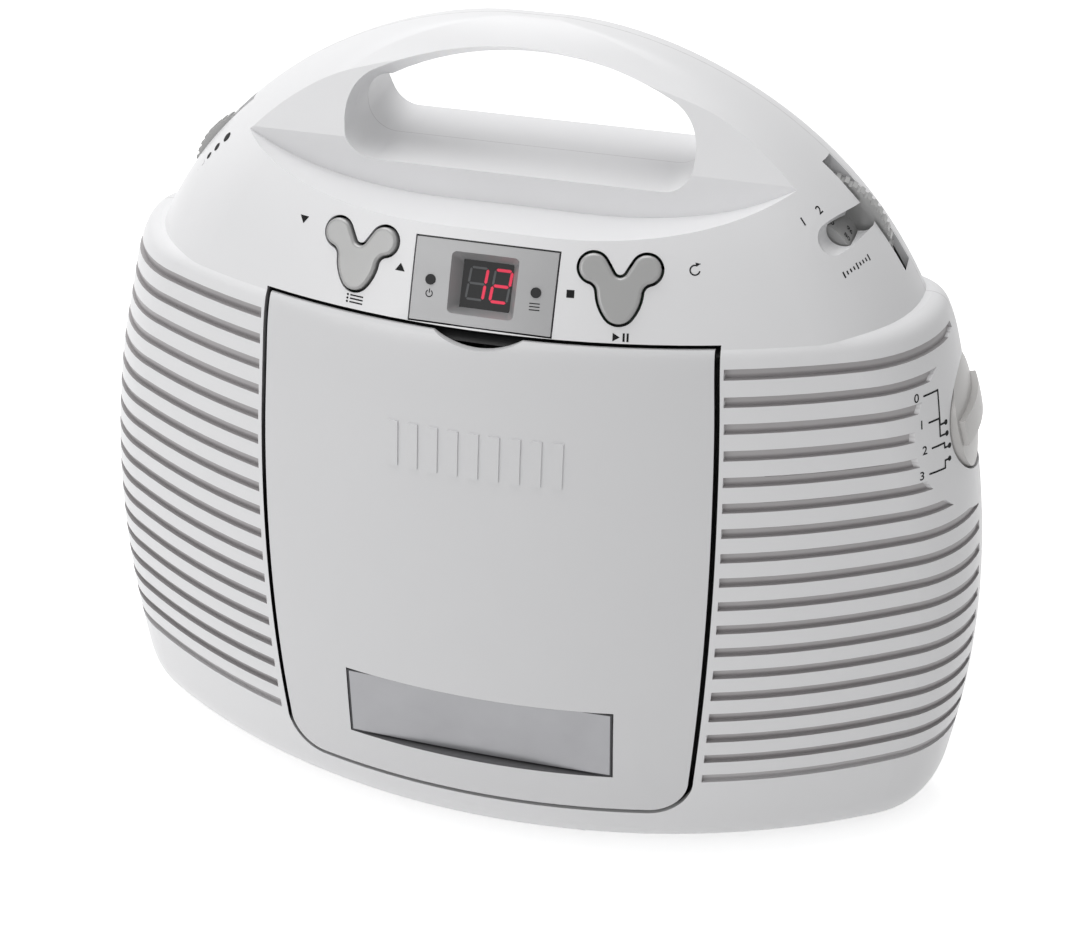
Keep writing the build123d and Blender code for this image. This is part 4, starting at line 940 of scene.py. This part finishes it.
class Recipe(Graph):
    """A Geometry Nodes tree with named sizes, run once and turned into a plain mesh."""

    def __init__(self, title: str) -> None:
        """Makes the tree with its geometry sockets.

        Args:
            title: The tree's name.
        """
        super().__init__(bpy.data.node_groups.new(title, "GeometryNodeTree"))
        self.tree.interface.new_socket("Geometry", in_out="INPUT", socket_type="NodeSocketGeometry")
        self.tree.interface.new_socket("Geometry", in_out="OUTPUT", socket_type="NodeSocketGeometry")
        self.entry = self.node("NodeGroupInput")
        self.sizes: dict[str, float] = {}
        self.title = title

    def size(self, name: str, value: float, kind: str = "NodeSocketFloat") -> Signal:
        """Adds a named size.

        Args:
            name: The size's name.
            value: Its value.
            kind: Its socket type.

        Returns:
            The size as a signal.
        """
        socket = self.tree.interface.new_socket(name, in_out="INPUT", socket_type=kind)
        self.sizes[socket.identifier] = value
        return self.signal(self.entry, name)

    def run(self, geometry: Any, material: bpy.types.Material) -> bmesh.types.BMesh:
        """Closes the tree, runs it and reads its mesh.

        Args:
            geometry: The node whose geometry is the result.
            material: The material of the result.

        Returns:
            The result as a shape.
        """
        real = self.node("GeometryNodeRealizeInstances", None, {0: geometry})
        painted = self.node("GeometryNodeSetMaterial", None, {"Geometry": real, "Material": material})
        self.node("NodeGroupOutput", None, {0: painted})
        holder = bpy.data.objects.new(self.title, bpy.data.meshes.new(self.title))
        bpy.context.scene.collection.objects.link(holder)
        modifier = holder.modifiers.new(self.title, "NODES")
        modifier.node_group = self.tree
        for identifier, value in self.sizes.items():
            modifier[identifier] = value
        bpy.context.view_layer.update()
        ready = holder.evaluated_get(bpy.context.evaluated_depsgraph_get())
        mesh = bpy.data.meshes.new_from_object(ready)
        shape = bmesh.new()
        shape.from_mesh(mesh)
        holder.modifiers.remove(modifier)
        bpy.data.objects.remove(holder)
        bpy.data.meshes.remove(mesh)
        return shape


@dataclass
class PanelMarks:
    """Plain signs printed beside the keys and lamps on the sloping panel."""

    shop: Workshop
    skin: Skin
    plate: Skin
    stroke: float = 0.42
    thin: float = 0.3
    thick: float = 0.6
    place_of_down: Place = (-57.0, -42.7, 204.5)
    place_of_up: Place = (-24.9, -52.0, 197.8)
    place_of_listing: Place = (-38.1, -55.0, 187.3)
    place_of_stop: Place = (25.0, -52.7, 196.6)
    place_of_again: Place = (57.9, -43.0, 203.7)
    place_of_play: Place = (40.3, -55.2, 186.4)
    place_of_power: Place = (-15.4, -55.5, 192.6)
    place_of_order: Place = (15.4, -55.5, 192.6)

    def down(self) -> bmesh.types.BMesh:
        """Arrowhead that points down."""
        stamp = Stamp()
        stamp.area([(-1.5, 1.0), (0.0, -1.3), (1.5, 1.0)])
        return stamp.lay(Patch(self.skin, self.place_of_down))

    def up(self) -> bmesh.types.BMesh:
        """Arrowhead that points up."""
        stamp = Stamp()
        stamp.area([(-1.5, -1.0), (1.5, -1.0), (0.0, 1.3)])
        return stamp.lay(Patch(self.skin, self.place_of_up))

    def listing(self) -> bmesh.types.BMesh:
        """Three lines with dots, for a list of tracks."""
        stamp = Stamp()
        for row in (-1.0, 0.0, 1.0):
            stamp.disc((-2.4, row), 0.34, 12)
            stamp.bar((-1.6, row), (2.6, row), self.stroke)
        return stamp.lay(Patch(self.skin, self.place_of_listing))

    def stop(self) -> bmesh.types.BMesh:
        """Square for stop."""
        stamp = Stamp()
        stamp.area([(-1.1, -1.1), (1.1, -1.1), (1.1, 1.1), (-1.1, 1.1)])
        return stamp.lay(Patch(self.skin, self.place_of_stop))

    def again(self) -> bmesh.types.BMesh:
        """Ring with an arrowhead, for repeat."""
        stamp = Stamp()
        stamp.ring((0.0, 0.0), 1.35, self.stroke, 60.0, 290.0)
        stamp.area([(0.35, 1.0), (1.65, 1.75), (0.1, 2.1)])
        return stamp.lay(Patch(self.skin, self.place_of_again))

    def play(self) -> bmesh.types.BMesh:
        """Arrowhead and two bars, for play and pause."""
        stamp = Stamp()
        stamp.area([(-2.4, -1.2), (-0.4, 0.0), (-2.4, 1.2)])
        for u in (0.7, 1.8):
            stamp.bar((u, -1.2), (u, 1.2), self.thick)
        return stamp.lay(Patch(self.skin, self.place_of_play))

    def power(self) -> bmesh.types.BMesh:
        """Broken ring with an upright stroke, for power."""
        stamp = Stamp()
        stamp.ring((0.0, 0.0), 0.95, self.thin, 120.0, 300.0)
        stamp.bar((0.0, 0.15), (0.0, 1.35), self.thin)
        return stamp.lay(Patch(self.plate, self.place_of_power))

    def order(self) -> bmesh.types.BMesh:
        """Three short lines, for the programmed order."""
        stamp = Stamp()
        for row in (0.9, 0.0, -0.9):
            stamp.bar((-1.5, row), (1.5, row), self.thin)
        return stamp.lay(Patch(self.plate, self.place_of_order))

    def build(self) -> None:
        """Prints all signs."""
        panel = joined([self.down(), self.up(), self.listing(), self.stop(), self.again(), self.play()])
        piece = self.shop.solid("panel_signs", panel, Palette.INK)
        self.shop.hand_over(piece, Body.HOUSING, Slot.DARK)
        piece = self.shop.solid("lamp_signs", joined([self.power(), self.order()]), Palette.INK)
        self.shop.hand_over(piece, Body.HOUSING, Slot.DARK)


@dataclass
class SelectorLegend:
    """Numbers, leader lines and dots printed in front of the selector knob."""

    shop: Workshop
    skin: Skin
    numbers: tuple[Place, ...] = (
        (120.6, -27.0, 163.6),
        (122.9, -26.9, 155.1),
        (124.6, -27.2, 147.0),
        (124.6, -28.6, 139.2),
    )
    dots: tuple[Place, ...] = (
        (129.2, -18.8, 152.8),
        (130.0, -19.1, 149.4),
        (131.1, -18.9, 145.3),
        (131.7, -19.5, 141.4),
    )
    bends: tuple[float, ...] = (2.8, 3.2, 2.4, 2.2)
    stroke: float = 0.62
    dot_radius: float = 0.85
    size: float = 3.8
    margin: float = 0.75

    def route(self, patch: Patch, dot: Place, bend: float) -> list[Spot]:
        """Corners of one leader line on a patch.

        Args:
            patch: The patch about the number.
            dot: The dot's place.
            bend: Distance before the dot where the line turns.

        Returns:
            The line's points in the patch's directions.
        """
        origin, across, up, _ = patch.axes()
        reach = (Vector(dot) * MM - origin) / MM
        end = (reach.dot(across), reach.dot(up))
        turn = end[0] - bend
        return [(self.size * self.margin, 0.0), (turn, 0.0), (turn, end[1]), end]

    def build(self) -> None:
        """Prints the legend."""
        shapes = []
        for index, (number, dot, bend) in enumerate(zip(self.numbers, self.dots, self.bends)):
            patch = Patch(self.skin, number)
            stamp = Stamp()
            route = self.route(patch, dot, bend)
            stamp.line(route, self.stroke)
            stamp.disc(route[-1], self.dot_radius)
            stamp.numeral(str(index), (0.0, 0.0), self.size)
            shapes.append(stamp.lay(patch))
        piece = self.shop.solid("selector_legend", joined(shapes), Palette.INK)
        self.shop.hand_over(piece, Body.HOUSING, Slot.DARK)


@dataclass
class ShoulderMarks:
    """Growing dots beside the volume wheel, and the scale beside the tuning wheel."""

    shop: Workshop
    skin: Skin
    arch_centre: float = 124.4
    dot_reach: float = 127.8
    dot_depth: float = -17.2
    dot_count: int = 6
    first_angle: float = -52.6
    first_step: float = 0.72
    step_growth: float = 0.166
    first_radius: float = 0.45
    radius_growth: float = 0.24
    tick_count: int = 9
    tick_step: float = 1.35
    long_tick: float = 1.9
    short_tick: float = 1.1
    tick_stroke: float = 0.5
    scale_place: Place = (100.0, -23.2, 201.2)
    scale_turn: float = 12.0
    band_places: tuple[Place, ...] = ((84.5, -26.5, 214.2), (88.0, -21.3, 215.9))
    band_turn: float = 20.0
    band_size: float = 3.6

    def dots(self) -> bmesh.types.BMesh:
        """Growing dots along the shoulder, made by a node tree and laid on the skin."""
        recipe = Recipe("volume_dots")
        count = recipe.size("Count", self.dot_count, "NodeSocketInt")
        start = recipe.size("Start angle", math.radians(self.first_angle))
        step = recipe.size("First step", math.radians(self.first_step))
        growth = recipe.size("Step growth", math.radians(self.step_growth))
        radius = recipe.size("First radius", self.first_radius * MM)
        swell = recipe.size("Radius growth", self.radius_growth * MM)
        reach = recipe.size("Reach", self.dot_reach * MM)
        index = recipe.signal(recipe.node("GeometryNodeInputIndex"))
        turn = start + index * step + index * (index * growth)
        place = recipe.node(
            "ShaderNodeCombineXYZ",
            None,
            {
                0: turn.math("SINE") * reach,
                1: self.dot_depth * MM,
                2: turn.math("COSINE") * reach + self.arch_centre * MM,
            },
        )
        outward = {0: turn.math("SINE"), 2: turn.math("COSINE")}
        radial = recipe.node("ShaderNodeCombineXYZ", None, outward)
        points = recipe.node("GeometryNodePoints", None, {"Count": count, "Position": place})
        facing = recipe.node("FunctionNodeAlignRotationToVector", {"axis": "Z"}, {"Vector": radial})
        unit = {"Vertices": 24, "Radius": 1.0}
        disc = recipe.node("GeometryNodeMeshCircle", {"fill_type": "TRIANGLE_FAN"}, unit)
        spread = recipe.node(
            "GeometryNodeInstanceOnPoints",
            None,
            {"Points": points, "Instance": disc, "Rotation": facing, "Scale": radius + index * swell},
        )
        shape = recipe.run(spread, self.shop.palette.mix(Palette.INK))
        for vertex in shape.verts:
            found, normal = self.skin.touch(vertex.co)
            vertex.co = found + normal * (Stamp.LIFT * MM)
        return shape

    def scale(self) -> bmesh.types.BMesh:
        """Graduation ticks below the tuning wheel's finger recess."""
        stamp = Stamp()
        middle = self.tick_count // 2
        for index in range(self.tick_count):
            length = self.long_tick if index % middle == 0 else self.short_tick
            u = (index - middle) * self.tick_step
            stamp.bar((u, -length / 2), (u, length / 2), self.tick_stroke)
        return stamp.lay(Patch(self.skin, self.scale_place, self.scale_turn))

    def bands(self) -> bmesh.types.BMesh:
        """Numbers of the two bands above the finger recess."""
        shapes = []
        for index, place in enumerate(self.band_places):
            stamp = Stamp()
            stamp.numeral(str(index + 1), (0.0, 0.0), self.band_size)
            shapes.append(stamp.lay(Patch(self.skin, place, self.band_turn)))
        return joined(shapes)

    def build(self) -> None:
        """Prints the marks on both shoulders."""
        piece = self.shop.solid("volume_dots", self.dots(), Palette.INK)
        self.shop.hand_over(piece, Body.HOUSING, Slot.DARK)
        piece = self.shop.solid("tuning_scale", joined([self.scale(), self.bands()]), Palette.INK)
        self.shop.hand_over(piece, Body.HOUSING, Slot.DARK)


@dataclass
class DialNumbers:
    """Plain numbers round the drum of the tuning wheel, one pair of them in its trough at rest."""

    shop: Workshop
    skin: Skin
    centre_x: float = 83.95
    centre_z: float = 196.1
    drum_radius: float = 15.5
    rest_turn: float = 49.5
    step: float = 24.0
    size: float = 2.7
    outer: tuple[str, ...] = ("53", "60", "70", "80", "100", "120", "140", "160")
    inner: tuple[str, ...] = ("88", "90", "92", "96", "100", "104", "106", "108")
    outer_depth: float = -15.6
    inner_depth: float = -11.0
    shown: int = 3

    def build(self) -> None:
        """Prints both rings of numbers."""
        shapes = []
        for depth, ring in ((self.outer_depth, self.outer), (self.inner_depth, self.inner)):
            for index, text in enumerate(ring):
                turn = math.radians(self.rest_turn + (index - self.shown) * self.step)
                place = (
                    self.centre_x + self.drum_radius * math.sin(turn),
                    depth,
                    self.centre_z + self.drum_radius * math.cos(turn),
                )
                reading = -RIGHT_ANGLE if math.sin(turn) > 0.0 else RIGHT_ANGLE
                stamp = Stamp()
                stamp.numeral(text, (0.0, 0.0), self.size)
                shapes.append(stamp.lay(Patch(self.skin, place, reading)))
        piece = self.shop.solid("dial_numbers", joined(shapes), Palette.INK)
        self.shop.hand_over(piece, Body.TUNING, Slot.DARK)


@dataclass
class Display:
    """Two seven-segment digits behind the display window."""

    shop: Workshop
    panel_tilt: float = 25.7
    centre_height: float = 196.4
    centre_depth: float = 54.31
    recess: float = 4.5
    digit_height: float = 9.0
    digit_width: float = 4.9
    digit_step: float = 7.1
    shift: float = 0.6
    slant: float = 0.09
    stroke: float = 0.85
    unlit_share: float = 0.75
    rise: float = 0.3
    joint: float = 0.18
    lit_proud: float = 0.06
    unlit_proud: float = 0.04
    lit: tuple[str, str] = ("bc", "abged")

    def frame(self, proud: float) -> Matrix:
        """Frame on the window's face, in metres.

        Args:
            proud: Distance in front of the face, in millimetres.

        Returns:
            The frame, with its third direction out of the panel.
        """
        tilt = math.radians(self.panel_tilt)
        out = Vector((0.0, -math.cos(tilt), math.sin(tilt)))
        up = Vector((0.0, math.sin(tilt), math.cos(tilt)))
        origin = Vector((0.0, -self.centre_depth, self.centre_height)) + out * (proud - self.recess)
        columns = Matrix((Vector((1.0, 0.0, 0.0)), up, out)).transposed().to_4x4()
        return Matrix.Translation(origin * MM) @ columns

    def segment(self, stamp: Stamp, first: Spot, last: Spot, width: float) -> None:
        """Adds one pointed segment between two corners of a digit."""
        run = (Vector(last) - Vector(first)).normalized()
        side = Vector((-run.y, run.x)) * width / 2
        start = Vector(first) + run * self.joint
        end = Vector(last) - run * self.joint
        tip = run * width / 2
        lower = [start, start + tip - side, end - tip - side]
        upper = [end, end - tip + side, start + tip + side]
        stamp.area([tuple(corner) for corner in lower + upper])

    def digit(self, centre: float, names: str, width: float) -> Stamp:
        """Draws the named segments of one digit.

        Args:
            centre: The digit's middle across the window.
            names: Letters of the segments, from a at the top round to g in the middle.
            width: Width of a segment.

        Returns:
            The drawn segments.
        """
        half, tall = self.digit_width / 2, self.digit_height / 2
        corner = {
            (u, v): (centre + u * half + v * tall * self.slant + self.shift, v * tall + self.rise)
            for u in (-1, 1)
            for v in (-1, 0, 1)
        }
        ends = {
            "a": ((-1, 1), (1, 1)),
            "b": ((1, 0), (1, 1)),
            "c": ((1, -1), (1, 0)),
            "d": ((-1, -1), (1, -1)),
            "e": ((-1, -1), (-1, 0)),
            "f": ((-1, 0), (-1, 1)),
            "g": ((-1, 0), (1, 0)),
        }
        stamp = Stamp()
        for name in names:
            first, last = ends[name]
            self.segment(stamp, corner[first], corner[last], width)
        return stamp

    def build(self) -> None:
        """Makes the lit and the unlit segments."""
        lit, unlit = [], []
        for centre, names in zip((-self.digit_step / 2, self.digit_step / 2), self.lit):
            others = "".join(name for name in "abcdefg" if name not in names)
            lit.append(self.digit(centre, names, self.stroke).place(self.frame(self.lit_proud)))
            dim = self.digit(centre, others, self.stroke * self.unlit_share)
            unlit.append(dim.place(self.frame(self.unlit_proud)))
        piece = self.shop.solid("lit_segments", joined(lit), Palette.LIT)
        self.shop.hand_over(piece, Body.HOUSING, Slot.WINDOW)
        piece = self.shop.solid("unlit_segments", joined(unlit), Palette.GHOST)
        self.shop.hand_over(piece, Body.HOUSING, Slot.WINDOW)


@dataclass
class Studio:
    """Camera, lamps, floor and background."""

    camera_place: Place = (0.1567, -0.5522, 0.4616)
    target: Place = (0.0, 0.005, 0.1018)
    focal: float = 69.495
    sensor: float = 36.0
    near: float = 0.01
    far: float = 50.0
    lamp_target: Place = (0.0, 0.0, 0.12)
    sky: float = 0.41
    floor_colour: Colour = (0.86, 0.86, 0.86)
    floor_cloud: float = 900.0
    floor_mottle: float = 0.01
    floor_glow: float = 0.6
    floor_half: float = 4.0

    def camera(self) -> None:
        """Puts the camera where the photograph was taken from."""
        data = bpy.data.cameras.new("photo_camera")
        data.lens = self.focal
        data.sensor_width = self.sensor
        data.clip_start = self.near
        data.clip_end = self.far
        camera = bpy.data.objects.new("photo_camera", data)
        camera.location = self.camera_place
        aim = Vector(self.target) - Vector(self.camera_place)
        camera.rotation_euler = aim.to_track_quat("-Z", "Y").to_euler()
        bpy.context.scene.collection.objects.link(camera)
        bpy.context.scene.camera = camera

    def lamp(self, name: str, place: Sequence[float], size: float, power: float) -> None:
        """Hangs a square soft lamp that points at the radio.

        Args:
            name: The lamp's name.
            place: Where it hangs, in metres.
            size: Its side in metres.
            power: Its power in watts.
        """
        data = bpy.data.lights.new(name, "AREA")
        data.size = size
        data.energy = power
        lamp = bpy.data.objects.new(name, data)
        lamp.location = place
        aim = Vector(self.lamp_target) - Vector(place)
        lamp.rotation_euler = aim.to_track_quat("-Z", "Y").to_euler()
        bpy.context.scene.collection.objects.link(lamp)

    def floor(self) -> None:
        """Lays the pale floor."""
        graph = ShaderGraph("studio_floor")
        path = graph.node("ShaderNodeLightPath")
        seen = graph.signal(path, "Is Camera Ray").math("MAXIMUM", graph.signal(path, "Is Glossy Ray"))
        darker = tuple((1.0 - self.floor_mottle) * channel for channel in self.floor_colour)
        cloud = graph.mixed(graph.noise(self.floor_cloud), self.floor_colour, darker)
        material = graph.surface(
            {
                "Base Color": cloud,
                "Roughness": 0.9,
                "Specular IOR Level": 0.1,
                "Emission Color": (1.0, 1.0, 1.0),
                "Emission Strength": seen * self.floor_glow,
            }
        )
        shape = bmesh.new()
        bmesh.ops.create_grid(shape, x_segments=8, y_segments=8, size=self.floor_half)
        mesh = bpy.data.meshes.new("studio_floor")
        shape.to_mesh(mesh)
        shape.free()
        mesh.materials.append(material)
        ground = bpy.data.objects.new("studio_floor", mesh)
        bpy.context.scene.collection.objects.link(ground)

    def world(self) -> None:
        """Even white light from all round, with a white background."""
        world = bpy.data.worlds.new("studio")
        world.use_nodes = True
        graph = Graph(world.node_tree)
        path = graph.node("ShaderNodeLightPath")
        seen = graph.signal(path, "Is Camera Ray").math("MAXIMUM", graph.signal(path, "Is Glossy Ray"))
        seen = seen.math("MAXIMUM", graph.signal(path, "Is Transmission Ray"))
        strength = self.sky + seen * (1.0 - self.sky)
        white = {"Color": (1.0, 1.0, 1.0), "Strength": strength}
        light = graph.node("ShaderNodeBackground", None, white)
        graph.node("ShaderNodeOutputWorld", None, {"Surface": light})
        bpy.context.scene.world = world

    def build(self) -> None:
        """Sets up the studio."""
        bpy.context.scene.view_settings.view_transform = "Standard"
        self.camera()
        self.world()
        self.floor()
        self.lamp("top_softbox", (-0.3, 0.1, 1.3), 1.1, 10.0)
        self.lamp("front_softbox", (-0.6, -1.2, 0.6), 0.8, 4.4)
        LOG.info("studio ready")


def main() -> None:
    """Dresses the radio, builds its added pieces and sets up the studio."""
    logging.basicConfig(level=logging.INFO, format="%(name)s: %(message)s")
    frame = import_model()
    shop = Workshop(frame, Palette())
    shop.dress_all()
    shop.dress("disc_door", Palette.DOOR)
    shop.dress("badge_plate", Palette.PLATE)
    shop.dress("selector_knob", Palette.KNOB)
    shop.dress("indicator_lamps", Palette.LAMP)
    housing = Skin([frame["nodes"]["front_housing"]])
    plate = Skin([frame["nodes"]["display_bezel"]])
    PanelMarks(shop, housing, plate).build()
    SelectorLegend(shop, housing).build()
    ShoulderMarks(shop, housing).build()
    DialNumbers(shop, Skin([frame["nodes"]["tuning_wheel"]])).build()
    Display(shop).build()
    Studio().build()


if __name__ == "__main__":
    main()
